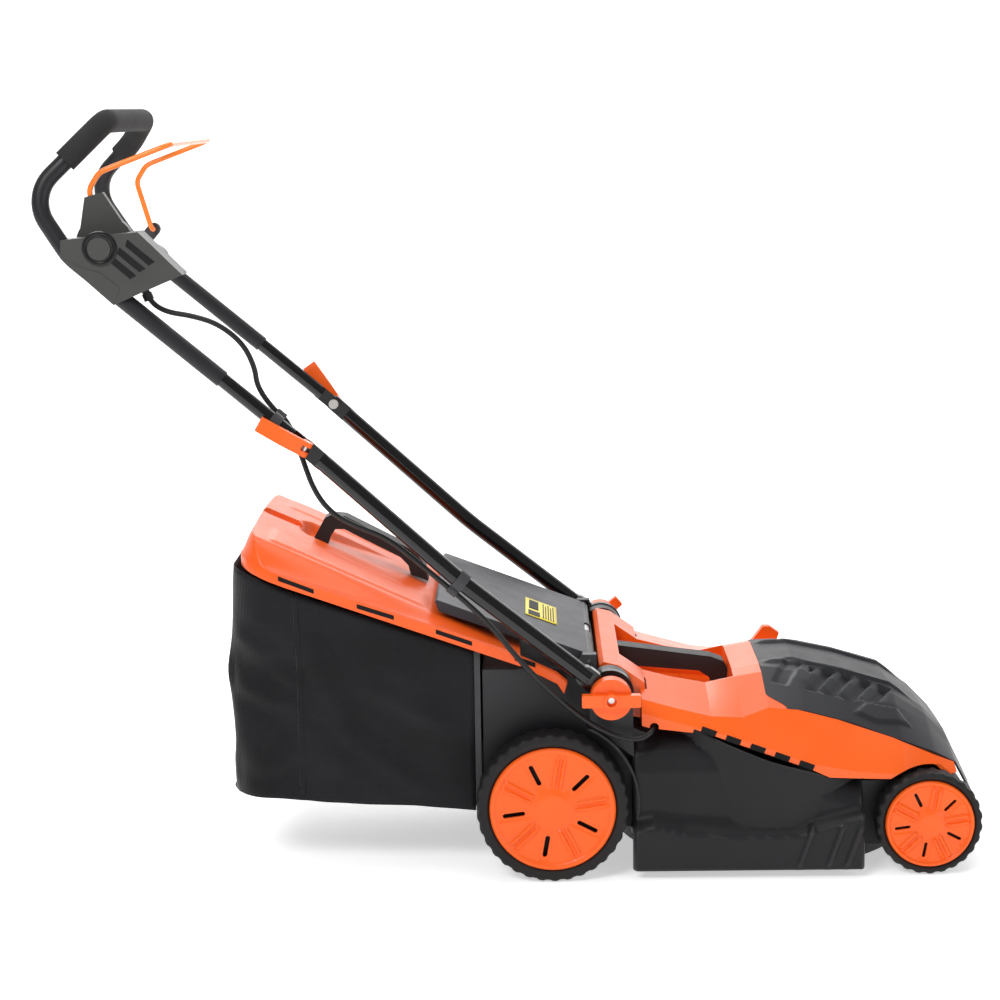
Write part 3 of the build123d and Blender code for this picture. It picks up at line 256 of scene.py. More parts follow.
ORANGE = (0.86, 0.112, 0.008)
MAT = {
    "deck_black": make_material("deck_black", (0.009, 0.009, 0.0105), 0.42, specular=0.24, grain=0.12,
                                grain_size=1400, wear=1.2),
    "cowl_orange": make_material("cowl_orange", ORANGE, 0.33, tone=0.05, grain=0.03, coat=0.15),
    "hood_grey": make_material("hood_grey", (0.017, 0.0175, 0.021), 0.42, specular=0.26, grain=0.15,
                               grain_size=1500, wear=0.8),
    "grip_black": make_material("grip_black", (0.014, 0.014, 0.0145), 0.48, grain=0.2, grain_size=1200),
    "zinc": make_material("zinc", (0.62, 0.62, 0.6), 0.32, metallic=1.0),
    "gloss_black_plastic": make_material("gloss_black_plastic", (0.01, 0.01, 0.011), 0.2),
    "motor_steel": make_material("motor_steel", (0.2, 0.2, 0.21), 0.5, grain=0.1),
    "bearing_steel": make_material("bearing_steel", (0.6, 0.6, 0.6), 0.25, metallic=1.0),
    "spring_steel": make_material("spring_steel", (0.4, 0.4, 0.4), 0.35, metallic=1.0),
    "cast_alloy": make_material("cast_alloy", (0.55, 0.55, 0.55), 0.45, metallic=1.0, grain=0.2),
    "blade_steel": make_material("blade_steel", (0.3, 0.3, 0.3), 0.38, metallic=1.0),
    "wheel_black": make_material("wheel_black", (0.011, 0.0105, 0.0105), 0.55, specular=0.22, grain=0.25,
                                 grain_size=700, wear=1.0),
    "cap_orange": make_material("cap_orange", ORANGE, 0.36, tone=0.05, grain=0.03),
    "lever_orange": make_material("lever_orange", ORANGE, 0.35, tone=0.05),
    "knob_orange": make_material("knob_orange", ORANGE, 0.34, tone=0.05, coat=0.1),
    "lid_orange": make_material("lid_orange", (0.82, 0.1, 0.008), 0.36, tone=0.06, grain=0.04, coat=0.1),
    "bail_orange": make_material("bail_orange", (0.9, 0.2, 0.015), 0.28, tone=0.08, coat=0.3),
    "flap_grey": make_material("flap_grey", (0.026, 0.027, 0.034), 0.42, grain=0.12, grain_size=1500),
    "gloss_black_paint": make_material("gloss_black_paint", (0.003, 0.003, 0.0035), 0.16, coat=0.4,
                                       grain=0.02, specular=0.3),
    "matt_black_paint": make_material("matt_black_paint", (0.014, 0.014, 0.016), 0.4, specular=0.28,
                                      grain=0.15, grain_size=1600),
    "foam": make_material("foam", (0.016, 0.016, 0.016), 0.85, tone=0.2, grain=0.7, grain_size=500),
    "switch_grey": make_material("switch_grey", (0.05, 0.051, 0.048), 0.46, grain=0.2, grain_size=1500),
    "cable_rubber": make_material("cable_rubber", (0.01, 0.01, 0.01), 0.35, grain=0.1),
    "bag_fabric": weave_material("bag_fabric", (0.007, 0.007, 0.0085), 2.2, 0.5),
}
label_yellow = make_material("label_yellow", (0.82, 0.66, 0.06), 0.4, tone=0.04)
# near-black used as printed ink on the labels and as painted shade in the cowl's air gaps and the lid's rim
# slots
ink_and_painted_shade = make_material("ink_and_painted_shade", (0.006, 0.006, 0.006), 0.5, specular=0.15)

node_slot = {entry["node"]: entry["material_slot"] for entry in frame["record"]["subparts"]}
SOFT_EDGE = {"deck": 1.2, "cowl": 1.0, "hood": 0.8, "grass_lid": 1.5, "carry_handle": 5.0, "bag_handle": 4.0,
             "knob_right": 1.2, "knob_left": 1.2, "cam_lever_right": 0.8, "cam_lever_left": 0.8,
             "switch_box": 3.0, "switch_cover": 1.0, "height_lever": 1.0, "rear_flap": 0.8}
for node_name, piece in nodes.items():
    piece.data.materials.clear()
    piece.data.materials.append(MAT[node_slot[node_name]])
    shade(piece.data)
    bevel(piece, SOFT_EDGE.get(node_name, 0.4))


# --- camera, light and floor ----------------------------------------------------
CAMERA_AT = (-20.24, -2870.56, 1000.75)
CAMERA_YAW, CAMERA_DOWN, CAMERA_ROLL = -0.91, 10.45, -0.899
LENS = 76.52


def camera_axes(yaw, down, roll):
    """Right, up and forward of the camera, from its yaw, downward pitch and roll in degrees."""
    yaw, down, roll = radians(yaw), radians(down), radians(roll)
    forward = Vector((sin(yaw) * cos(down), cos(yaw) * cos(down), -sin(down)))
    right = Vector((cos(yaw), -sin(yaw), 0))
    up = right.cross(forward)
    return right * cos(roll) + up * sin(roll), up * cos(roll) - right * sin(roll), forward


camera_data = bpy.data.cameras.new("camera")
camera_data.lens = LENS
camera_data.sensor_width = 36
camera_data.clip_end = 50
camera = bpy.data.objects.new("camera", camera_data)
right, up, forward = camera_axes(CAMERA_YAW, CAMERA_DOWN, CAMERA_ROLL)
turn = Matrix((right, up, -forward)).transposed().to_4x4()
camera.matrix_world = Matrix.Translation(point(*CAMERA_AT)) @ turn
bpy.context.scene.collection.objects.link(camera)
bpy.context.scene.camera = camera


def area_light(name, place, aim, size, power):
    data = bpy.data.lights.new(name, "AREA")
    data.shape = "RECTANGLE"
    data.size, data.size_y = size
    data.energy = power
    light = bpy.data.objects.new(name, data)
    light.location = place
    light.rotation_euler = (Vector(aim) - Vector(place)).to_track_quat("-Z", "Y").to_euler()
    bpy.context.scene.collection.objects.link(light)


area_light("key_light", (-1.4, -2.4, 2.6), (0.0, 0.0, 0.4), (1.6, 1.0), 60)
area_light("top_light", (0.0, 0.2, 3.0), (0.0, 0.0, 0.3), (2.4, 1.6), 36)
area_light("fill_light", (2.6, -2.2, 1.0), (0.1, 0.0, 0.3), (1.4, 1.4), 20)
area_light("back_light", (-0.6, 2.6, 1.9), (0.0, 0.0, 0.4), (2.4, 1.0), 24)

world = bpy.data.worlds.new("studio")
world.use_nodes = True
world.node_tree.nodes["Background"].inputs["Color"].default_value = (1.0, 1.0, 1.0, 1)
world.node_tree.nodes["Background"].inputs["Strength"].default_value = 0.3
bpy.context.scene.world = world
bpy.context.scene.view_settings.view_transform = "Standard"

floor_material = make_material("floor", (0.93, 0.93, 0.93), 0.8, tone=0.005)
floor_shader = floor_material.node_tree.nodes["Principled BSDF"]
floor_shader.inputs["Emission Color"].default_value = (1, 1, 1, 1)
floor_shader.inputs["Emission Strength"].default_value = 0.5
SWEEP_R = 1500           # the backdrop's bend into the wall
SWEEP_Y = 1800
FLOOR_HALF = 9000
FLOOR_Z = -0.3           # just below the wheels
WALL_TOP = 6000
sweep = [(-FLOOR_HALF, FLOOR_Z), (0, FLOOR_Z)]
sweep += [(SWEEP_Y + SWEEP_R * sin(radians(a)), SWEEP_R * (1 - cos(radians(a))) + FLOOR_Z)
          for a in range(0, 91, 6)]
sweep.append((SWEEP_Y + SWEEP_R, WALL_TOP))
floor = grid_piece("floor", [[(x, y, z) for y, z in sweep] for x in (-FLOOR_HALF, FLOOR_HALF)],
                   floor_material)

# --- cable ------------------------------------------------------------------------
CABLE_R = 3.5
KNOB_AXIS = (77.0, 250.0)
CLAMP_AXIS = (-309.0, 580.5)
BEND = (-115.0, 403.0)     # the middle of the lower tube's slight bend
fold_run = hypot(CLAMP_AXIS[0] - KNOB_AXIS[0], CLAMP_AXIS[1] - KNOB_AXIS[1])
tube_dir = ((CLAMP_AXIS[0] - KNOB_AXIS[0]) / fold_run, (CLAMP_AXIS[1] - KNOB_AXIS[1]) / fold_run)
tube_across = (tube_dir[1], -tube_dir[0])


def tube_point(origin, along, across, y):
    """A point beside the folding tube's line, in millimetres."""
    return (origin[0] + tube_dir[0] * along + tube_across[0] * across, y,
            origin[1] + tube_dir[1] * along + tube_across[1] * across)


cable_routes = {
    "cable_upper": [(-507, -188, 781), (-501, -188, 766), (-481, -187, 753), (-449, -186, 748),
                    (-416, -186, 737), (-386, -186, 712), (-372, -186, 681), (-370, -187, 657),
                    tube_point(CLAMP_AXIS, 63, 9, -188), tube_point(CLAMP_AXIS, 50, 9, -188)],
    "cable_middle": [tube_point(CLAMP_AXIS, 50, 9, -188), tube_point(CLAMP_AXIS, 37, 9, -188),
                     (-316, -187, 566), (-301, -194, 522), (-278, -197, 492), (-247, -200, 476),
                     (-208, -202, 461), (-172, -203, 431), tube_point(BEND, 13, -16.15, -203),
                     tube_point(BEND, 0, -16.15, -203)],
    "cable_lower": [tube_point(BEND, 0, -16.15, -203), tube_point(BEND, -13, -16.15, -203),
                    (-79, -204, 347), (-38, -205, 294), (8, -206, 247), (48, -206, 213), (84, -206, 194),
                    (113, -205, 189), (129, -199, 196), (134, -188, 203), (134, -172, 205)],
}


def smooth_path(name, route):
    """Points read along a NURBS spline that has the route as its control points."""
    curve = bpy.data.curves.new(name + "_path", "CURVE")
    curve.dimensions = "3D"
    spline = curve.splines.new("NURBS")
    spline.points.add(len(route) - 1)
    for control, place in zip(spline.points, route):
        control.co = (*point(*place), 1)
    spline.order_u = 3
    spline.use_endpoint_u = True
    spline.resolution_u = 10
    holder = bpy.data.objects.new(name + "_path", curve)
    mesh = bpy.data.meshes.new_from_object(holder)
    places = [v.co.copy() for v in mesh.vertices]
    bpy.data.objects.remove(holder)
    return places


def tube_mesh(name, places, radius, material, sides=14):
    """A round tube along a path of points in metres."""
    rings = []
    normal = None
    for i, place in enumerate(places):
        ahead = places[min(i + 1, len(places) - 1)] - places[max(i - 1, 0)]
        ahead.normalize()
        if normal is None:
            normal = ahead.orthogonal().normalized()
        normal = (normal - ahead * normal.dot(ahead)).normalized()
        across = ahead.cross(normal)
        rings.append([place + (normal * cos(2 * pi * k / sides) + across * sin(2 * pi * k / sides)) * radius
                      for k in range(sides)])
    rows = [[tuple(v / MM for v in p) for p in ring] for ring in rings]
    return grid_piece(name, rows, material, close_columns=True, caps=True, angle=60)


for cable_name, route in cable_routes.items():
    places = smooth_path(cable_name, route)
    piece = tube_mesh(cable_name + "_skin", places, CABLE_R * MM, MAT["cable_rubber"])
    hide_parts(cable_name)
    if cable_name == "cable_upper":
        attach(piece, "upper_handle")
    elif cable_name == "cable_middle":
        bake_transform(piece)
    else:
        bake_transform(piece)

# --- wheels -------------------------------------------------------------------------
def wheel_pieces(end, side, hub, radius, y_in, y_out, rim, lugs):
    """A treaded tyre with its inner web (side is -1 for the right)."""
    half = (y_out - y_in) / 2
    middle = (y_in + y_out) / 2
    profile = [(rim - 1, -half), (rim + 3, -half), (radius - 7, -half), (radius - 3.5, -half + 0.6),
               (radius - 1.6, -half + 3), (radius - 1.0, -half + 8), (radius - 1.0, half - 8),
               (radius - 1.6, half - 3), (radius - 3.5, half - 0.6), (radius - 7, half), (rim + 3, half),
               (rim + 1, half - 1), (rim - 1, half - 3), (rim - 3, half - 12), (rim - 3, -half + 12)]
    steps = lugs * 4
    rows = []
    for i in range(steps):
        angle = 2 * pi * i / steps
        row = []
        for r, y in profile:
            lug = 0.0
            if r > radius - 4 and abs(y) > 2:
                phase = (i + (2 if y > 0 else 0)) % 4
                lug = 0.8 if phase in (0, 1) else -0.9
            row.append((hub[0] + (r + lug) * cos(angle), side * (middle + y),
                        hub[1] + (r + lug) * sin(angle)))
        rows.append(row)
    tyre = grid_piece(f"{end}_tyre", rows, MAT["wheel_black"], close_rows=True, close_columns=True, angle=28)
    face_outwards(tyre)
    bevel(tyre, 0.5, 1)
    web = [(7, -6), (16, -6), (16, 2), (rim - 2, 2), (rim - 2, 8), (16, 8), (16, 8), (7, 8)]
    rows = [[(hub[0] + r * cos(2 * pi * i / 48), side * (middle - 2 + y), hub[1] + r * sin(2 * pi * i / 48))
             for r, y in web] for i in range(48)]
    disc = grid_piece(f"{end}_wheel_web", rows, MAT["wheel_black"], close_rows=True, close_columns=True)
    face_outwards(disc)
    disc.parent = tyre
    return tyre


def slot_cutter(name, hub, radius, angle, y_from, y_to, length, width):
    """A round-ended bar across Y for cutting a slot that points away from a hub."""
    outline = []
    for end in (-1, 1):
        for k in range(9):
            turn = angle - end * pi / 2 + pi * k / 8
            centre = radius + end * (length - width) / 2
            outline.append((hub[0] + centre * cos(angle) + width / 2 * cos(turn),
                            hub[1] + centre * sin(angle) + width / 2 * sin(turn)))
    count = len(outline)
    verts = [(x, y, z) for y in (y_from, y_to) for x, z in outline]
    faces = [tuple(range(count)), tuple(range(2 * count - 1, count - 1, -1))]
    faces += [((j + 1) % count, j, count + j, count + (j + 1) % count) for j in range(count)]
    cutter = mesh_piece(name, verts, faces, ink_and_painted_shade)
    return face_outwards(cutter)


def cut(piece, cutters):
    """Cut closed meshes out of a piece and leave the result in its mesh."""
    for cutter in cutters:
        modifier = piece.modifiers.new("cut", "BOOLEAN")
        modifier.operation = "DIFFERENCE"
        modifier.solver = "EXACT"
        modifier.object = cutter
    apply_all(piece)
    for cutter in cutters:
        bpy.data.objects.remove(cutter)
    return piece


def cap_piece(name, side, hub, radius, face_y):
    """A dished cap: raised rim and hub boss, pairs of pressed ribs, and a slot between each two pairs."""
    rings = [0.10, 0.2, 0.25, 0.28, 0.31, 0.34, 0.37, 0.40, 0.46, 0.52, 0.58, 0.64, 0.70, 0.76, 0.80, 0.83,
             0.86, 0.89, 0.91, 0.93, 0.95, 0.975, 0.99, 1.0]
    arms = 5
    steps = arms * 56
    slot_turn = radians(44)

    def depth(t, angle):
        """Height of the cap's face above its lowest plane, in millimetres."""
        base = 4.0 + 1.4 * (1 - t)
        if t < 0.32:
            base = 7.6 - 2.0 * smooth_step((t - 0.25) / 0.06)
        if t > 0.89:
            base = 4.0 + 2.6 * smooth_step((t - 0.89) / 0.04) - 2.8 * smooth_step((t - 0.975) / 0.025)
        turn = (angle - slot_turn) / (2 * pi) * arms
        offset = abs(turn - round(turn)) * 2 * pi * t * radius / arms
        reach = smooth_step((t - 0.34) / 0.05) * (1 - smooth_step((t - 0.84) / 0.05))
        base -= 1.5 * smooth_step((8.5 - offset) / 3.0) * reach
        half_turn = abs(turn - round(turn - 0.5) - 0.5)
        offset = half_turn * 2 * pi * t * radius / arms
        rib = smooth_step((7.6 - offset) / 2.0) * smooth_step((offset - 1.6) / 1.6)
        return base + 3.2 * rib * reach

    rows = [[(hub[0], side * face_y, hub[1])] * steps]
    for t in rings:
        rows.append([(hub[0] + t * radius * cos(2 * pi * i / steps),
                      side * (face_y - 7.6 + depth(t, 2 * pi * i / steps)),
                      hub[1] + t * radius * sin(2 * pi * i / steps)) for i in range(steps)])
    for back in (1.0, 0.001):
        rows.append([(hub[0] + back * radius * cos(2 * pi * i / steps), side * (face_y - 7.9),
                      hub[1] + back * radius * sin(2 * pi * i / steps)) for i in range(steps)])
    piece = grid_piece(name, rows, MAT["cap_orange"], close_columns=True, angle=40)
    face_outwards(piece)
    y_from, y_to = sorted((side * (face_y - 12), side * (face_y + 2)))
    cutters = [slot_cutter(f"slot_{k}", hub, radius * 0.62, slot_turn + 2 * pi * k / arms, y_from, y_to,
                           radius * 0.36, radius * 0.075) for k in range(arms)]
    cut(piece, cutters)
    shade(piece.data, 40)
    return piece


for end, radius, rim, cap_radius, lugs in (("rear", 100, 84, 82.5, 34), ("front", 70, 59.5, 58, 26)):
    for side, word in ((-1, "right"), (1, "left")):
        low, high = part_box(f"{end}_wheel_{word}")
        hub = ((low.x + high.x) / 2 / MM, (low.z + high.z) / 2 / MM)
        y_in, y_out = sorted((abs(low.y) / MM, abs(high.y) / MM))
        cap_low, cap_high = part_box(f"{end}_cap_{word}")
        face_y = max(abs(cap_low.y), abs(cap_high.y)) / MM
        tyre = wheel_pieces(f"{end}_{word}", side, hub, radius, y_in, y_out, rim, lugs)
        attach(tyre, f"{end}_wheel_{word}_body")
        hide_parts(f"{end}_wheel_{word}")
        cap = cap_piece(f"{end}_{word}_cap", side, hub, cap_radius, face_y)
        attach(cap, f"{end}_wheel_{word}_body")
        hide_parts(f"{end}_cap_{word}")

# --- motor hood -------------------------------------------------------------------
# x, then the seam's half-width and height, the shoulder's, and the height of the crown
hood_sections = [
    (284, 174, 222.5, 86, 247.5, 252.5), (333, 172, 217.5, 106, 243.5, 254.5),
    (397, 172, 199.5, 119, 224.5, 240.5), (462, 171, 174.5, 110, 205.5, 220.5),
    (507, 162, 155.5, 102, 176.5, 188.5), (536, 152, 138.5, 100, 148.5, 158.5),
    (566, 136, 82.5, 96, 88.5, 93.5)]
VENT = [(336, -128), (352, -66), (398, -60), (470, -72), (446, -112), (398, -132)]
SCOOP = [(296, -112), (322, -48), (346, -58), (316, -122)]
NOSE_RIDGE = [(402, -152), (420, -128), (462, -118), (478, -136), (430, -156)]


def column(table, index, x):
    return between([(row[0], row[index]) for row in table], x)


def edge_distance(outline, x, y):
    """Distance inside an outline, negative outside it."""
    inside = False
    nearest = 1e9
    for (x0, y0), (x1, y1) in zip(outline, outline[1:] + outline[:1]):
        if (y0 > y) != (y1 > y) and x < (x1 - x0) * (y - y0) / (y1 - y0) + x0:
            inside = not inside
        run = (x1 - x0) ** 2 + (y1 - y0) ** 2
        t = min(max(((x - x0) * (x1 - x0) + (y - y0) * (y1 - y0)) / run, 0.0), 1.0)
        nearest = min(nearest, hypot(x - x0 - t * (x1 - x0), y - y0 - t * (y1 - y0)))
    return nearest if inside else -nearest


def hood_height(x, y):
    """Height of the hood's skin, with its sunken scoop, its vents and the raised ridges."""
    seam_y, seam_z, top_y, top_z, crown = [column(hood_sections, k, x) for k in range(1, 6)]
    profile = [(0, crown), (60, crown - 1), ((60 + top_y) / 2, (crown + top_z) / 2 + 1.5), (top_y, top_z),
               (seam_y, seam_z)]
    across = abs(y)
    height = between(profile, across)
    fade = smooth_step((x - 290) / 8)
    scoop = edge_distance(SCOOP, x, -across)
    height -= 3.5 * smooth_step((scoop + 1) / 5) * fade
    vent = edge_distance(VENT, x, -across)
    if vent > 0:
        louvre = ((x + across * 0.55) / 26.0) % 1.0
        height -= 9 * smooth_step(vent / 4)
        blade = smooth_step((louvre - 0.12) / 0.18) * (1 - smooth_step((louvre - 0.5) / 0.4))
        height += 8 * smooth_step(vent / 4) * blade
    height += 3.5 * smooth_step((edge_distance(NOSE_RIDGE, x, -across) + 2) / 4)
    ridge = abs(across - 52 - (x - 284) * 0.02)
    reach = smooth_step((x - 284) / 20) * smooth_step((500 - x) / 30)
    return height + 4 * smooth_step((9 - ridge) / 5) * reach


HOOD_NOSE = 566.0
hood_rows = []
lanes = 78
for i in range(96):
    u = i / 95
    row = []
    for j in range(-lanes, lanes + 1):
        share = abs(j) / lanes
        rear = 284.5 + 25 * smooth_step((share - 0.80) / 0.20)
        x = rear + (HOOD_NOSE - rear) * u
        y = column(hood_sections, 1, x) * share * (1 if j > 0 else -1)
        row.append((x, y, hood_height(x, y)))
    hood_rows.append(row)
hood_skin = grid_piece("hood_skin", hood_rows, MAT["hood_grey"], angle=32)
solidify(hood_skin, 3.0)
face_outwards(hood_skin)
bevel(hood_skin, 0.6, 2, 60)
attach(hood_skin, "chassis")
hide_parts("hood")

# --- deck sides -----------------------------------------------------------------------
# height, half-width of the moulded side: flared skirt, lip, waist and shoulder
side_profile = [(12.5, 212.8), (50, 212.8), (57, 212.6), (62, 206), (68, 197), (78, 193.5), (110, 192),
                (140, 190),
                (165, 185), (182, 176), (192, 166)]
side_top = [(106, 187), (120, 193), (146, 196), (186, 197), (225, 180), (284, 157), (340, 140), (372, 128),
            (410, 122)]
lip_drop = [(106, 8), (132, 14), (175, 5), (250, 0), (322, 0), (376, 16), (410, 30)]
DRUM_X, DRUM_R = 290, 202


def deck_side(name, side):
    """The moulded side between the wheels: a shoulder under the cowl that flares into the skirt."""
    rows = []
    for i in range(150):
        x = 106 + (408 - 106) * i / 149
        top = between(side_top, x)
        row = []
        for k in range(60):
            share = k / 59
            z = 12.5 + (top - 12.5) * share
            lift = between(lip_drop, x) * smooth_step((z - 30) / 30) * smooth_step((130 - z) / 60)
            shoulder = max(0.0, z - (top - 34)) / 34
            y = between(side_profile, max(z - lift, 12.5)) - 22 * shoulder ** 2
            # keep outside the blade drum
            y = max(y, max(0.0, DRUM_R ** 2 - (x - DRUM_X) ** 2) ** 0.5)
            end = max(0.0, (111 - x) / 6, (x - 404) / 5)
            y -= 12 * end ** 2
            for rib in (334, 372, 396):
                reach = smooth_step((78 - z) / 12) * smooth_step((z - 12) / 10)
                y += 3.5 * smooth_step((5 - abs(x - rib - (z - 50) * 0.35)) / 3) * reach
            row.append((x, side * y, z))
        rows.append(row)
    piece = grid_piece(name, rows, MAT["deck_black"], angle=40)
    solidify(piece, 2.0, 0.0)
    face_outwards(piece)
    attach(piece, "chassis")
    return piece


for side, word in ((-1, "right"), (1, "left")):
    deck_side(f"deck_side_{word}", side)

# --- cowl details -----------------------------------------------------------------------
for side, word in ((-1, "right"), (1, "left")):
    # air gaps along the cowl's lower edge, drawn as black plates: the black deck behind them with painted
    # shade inside the gaps
    for step in range(5):
        x = 197 + 32 * step
        z = 201.5 - (x - 202) * 0.367
        notch = [(x, z), (x + 19, z - 7.0), (x + 16, z - 14.5), (x - 3, z - 7.5)]
        y_from, y_to = sorted((side * 188, side * 195.5))
        gap = plate_piece(f"air_gap_{word}_{step}", notch, y_from, y_to, ink_and_painted_shade, 0.4)
        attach(gap, "chassis")

# --- grass box ----------------------------------------------------------------------------
BAG_HALF = 168.0
BAG_FRONT, BAG_REAR, BAG_CORNER = -101.0, -426.5, 45.0
BAG_TOP = [(-427, 414), (-404, 407), (-101, 300)]
BAG_FOOT = [(-427, 108), (-423, 107), (-101, 84)]
SEAM_X = -334.0
bag_plan = [(BAG_FRONT + (BAG_REAR + BAG_CORNER - BAG_FRONT) * i / 34, -BAG_HALF) for i in range(34)]
bag_plan += [(BAG_REAR + BAG_CORNER - BAG_CORNER * sin(radians(a)),
              -BAG_HALF + BAG_CORNER * (1 - cos(radians(a)))) for a in range(0, 91, 10)]
bag_plan += [(BAG_REAR, -BAG_HALF + BAG_CORNER + (2 * BAG_HALF - 2 * BAG_CORNER) * i / 30)
             for i in range(1, 16)]
bag_plan += [(x, -y) for x, y in reversed(bag_plan[:-1])]
BAG_ROWS, FLOOR_ROWS = 34, 15
bag_rows = []
for i in range(FLOOR_ROWS):
    share = i / FLOOR_ROWS
    bag_rows.append([(x, y * share, between(BAG_FOOT, x)) for x, y in bag_plan])
for i in range(BAG_ROWS + 1):
    share = i / BAG_ROWS
    row = []
    for x, y in bag_plan:
        low, high = between(BAG_FOOT, x), between(BAG_TOP, x)
        lean = between([(107, 4), (150, 0), (260, 0), (413, 9)], low + (high - low) * share)
        rear = smooth_step((-330 - x) / 90)
        row.append((x + lean * rear, y, low + (high - low) * share))
    bag_rows.append(row)
bag = grid_piece("bag_shell", bag_rows, MAT["bag_fabric"], angle=60)
columns = len(bag_plan)
seam_columns = [min(range(columns // 2), key=lambda j: abs(bag_plan[j][0] - SEAM_X))]
seam_columns.append(columns - 1 - seam_columns[0])
pins = bag.vertex_groups.new(name="pins")
for i in range(len(bag_rows)):
    for j in range(columns):
        if i == 0 or i >= len(bag_rows) - 2 or j in (0, columns - 1):
            pins.add([i * columns + j], 1.0, "REPLACE")
        elif i in (FLOOR_ROWS, FLOOR_ROWS + 1) or i < 3:
            pins.add([i * columns + j], 0.75, "REPLACE")
        elif j in seam_columns:
            pins.add([i * columns + j], 0.25, "REPLACE")
# a slight drift in the starting form, so that the folds don't come out alike on both sides
noise.seed_set(7)
for vertex in bag.data.vertices:
    place = vertex.co
    free = smooth_step((place.z - 0.11) / 0.06) * smooth_step((0.36 - place.z) / 0.1)
    free *= smooth_step((-0.13 - place.x) / 0.05)
    run = (place.x * 0.8 + place.z * 0.6) * 46 + 2.2 * noise.noise(place * 9.0)
    fold = sin(run) * (0.35 + max(0.0, noise.noise(place * 6.0 + Vector((3, 0, 1))))) * 0.0085 * free
    if abs(place.y) > 0.14:
        vertex.co.y += fold if place.y > 0 else -fold
    elif place.x < -0.4:
        vertex.co.x += fold
    vertex.co += noise.noise_vector(place * 16.0) * 0.0026
CLOTH_FRAMES = 24
cloth = bag.modifiers.new("cloth", "CLOTH")
cloth.settings.quality = 6
cloth.settings.mass = 0.22
cloth.settings.vertex_group_mass = "pins"
cloth.settings.tension_stiffness = 30
cloth.settings.compression_stiffness = 30
cloth.settings.shear_stiffness = 12
cloth.settings.bending_stiffness = 0.6
cloth.settings.shrink_min = -0.016
cloth.settings.shrink_max = -0.016
cloth.point_cache.frame_start = 1
cloth.point_cache.frame_end = CLOTH_FRAMES
for frame_number in range(1, CLOTH_FRAMES + 1):
    bpy.context.scene.frame_set(frame_number)
apply_all(bag)
bpy.context.scene.frame_set(1)
# creases in the side walls, as (x, z) ends and height in millimetres
CREASES = [((-418, 264), (-359, 234), 5.5), ((-359, 234), (-398, 142), 5.5), ((-374, 140), (-322, 188), 5.0),
           ((-351, 268), (-330, 200), 4.5), ((-312, 310), (-268, 190), 3.5), ((-268, 190), (-180, 120), 3.0),
           ((-424, 330), (-372, 300), 4.0), ((-240, 250), (-130, 200), 2.5), ((-405, 120), (-340, 104), 4.0)]


def crease_height(x, z):
    """How far the folds stand out of the bag's wall, in millimetres."""
    height = 0.0
    for (x0, z0), (x1, z1), rise in CREASES:
        run = (x1 - x0) ** 2 + (z1 - z0) ** 2
        t = min(max(((x - x0) * (x1 - x0) + (z - z0) * (z1 - z0)) / run, 0.0), 1.0)
        away = hypot(x - x0 - t * (x1 - x0), z - z0 - t * (z1 - z0))
        height += rise * max(0.0, 1 - away / 16) ** 2 * (1 - 0.5 * abs(2 * t - 1))
        height -= rise * 0.5 * max(0.0, 1 - abs(away - 22) / 14)
    return height


for vertex in bag.data.vertices:
    x, y, z = vertex.co / MM
    if abs(y) > 150:
        shift = crease_height(x + (14 if y > 0 else 0), z - (9 if y > 0 else 0)) * smooth_step((370 - z) / 40)
        vertex.co.y += (1 if y > 0 else -1) * shift * MM
cells = [v.co.copy() for v in bag.data.vertices]
for vertex in bag.data.vertices:
    vertex.co.x = min(max(vertex.co.x, -0.431), -0.1015)
    vertex.co.y = min(max(vertex.co.y, -0.174), 0.174)
    vertex.co.z = max(vertex.co.z, 0.082)
for side, j in zip((-1, 1), seam_columns):
    rows = []
    for i in range(FLOOR_ROWS + 1, len(bag_rows)):
        place = cells[i * columns + j] / MM
        rows.append([(place.x + dx, place.y + side * rise, place.z)
                     for dx, rise in ((-3.5, 0.2), (-2.6, 1.3), (0, 0.9), (2.6, 1.3), (3.5, 0.2))])
    seam = grid_piece("bag_seam_right" if side < 0 else "bag_seam_left", rows, MAT["bag_fabric"], angle=50)
    solidify(seam, 0.5, 0.0)
    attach(seam, "grass_box")
solidify(bag, 1.2, 0.0)
shade(bag.data, 70)
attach(bag, "grass_box")
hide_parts("grass_bag")

# the lid: a banded rim, a sloping shoulder and a crowned top with a recess for the handle
LID_HALF, LID_FRONT, LID_REAR, LID_CORNER = 187.0, -40.0, -407.0, 62.0
LID_BAND = 14.0
LID_RECESS = [(-340, -26), (-328, -40), (-172, -40), (-156, -26), (-156, 26), (-172, 40), (-328, 40),
              (-340, 26)]
RECESS_FLOOR = [(-340, 423.5), (-309, 416.5), (-153, 356)]
GAUGE_RECESS = [(-391, -8), (-382, -16), (-346, -16), (-341, -8), (-341, 8), (-346, 16), (-382, 16),
                (-391, 8)]


def lid_rear(y):
    """The lid's rear edge, with its rounded corners."""
    over = max(0.0, abs(y) - (LID_HALF - LID_CORNER))
    return LID_REAR + LID_CORNER - max(0.0, LID_CORNER ** 2 - over ** 2) ** 0.5


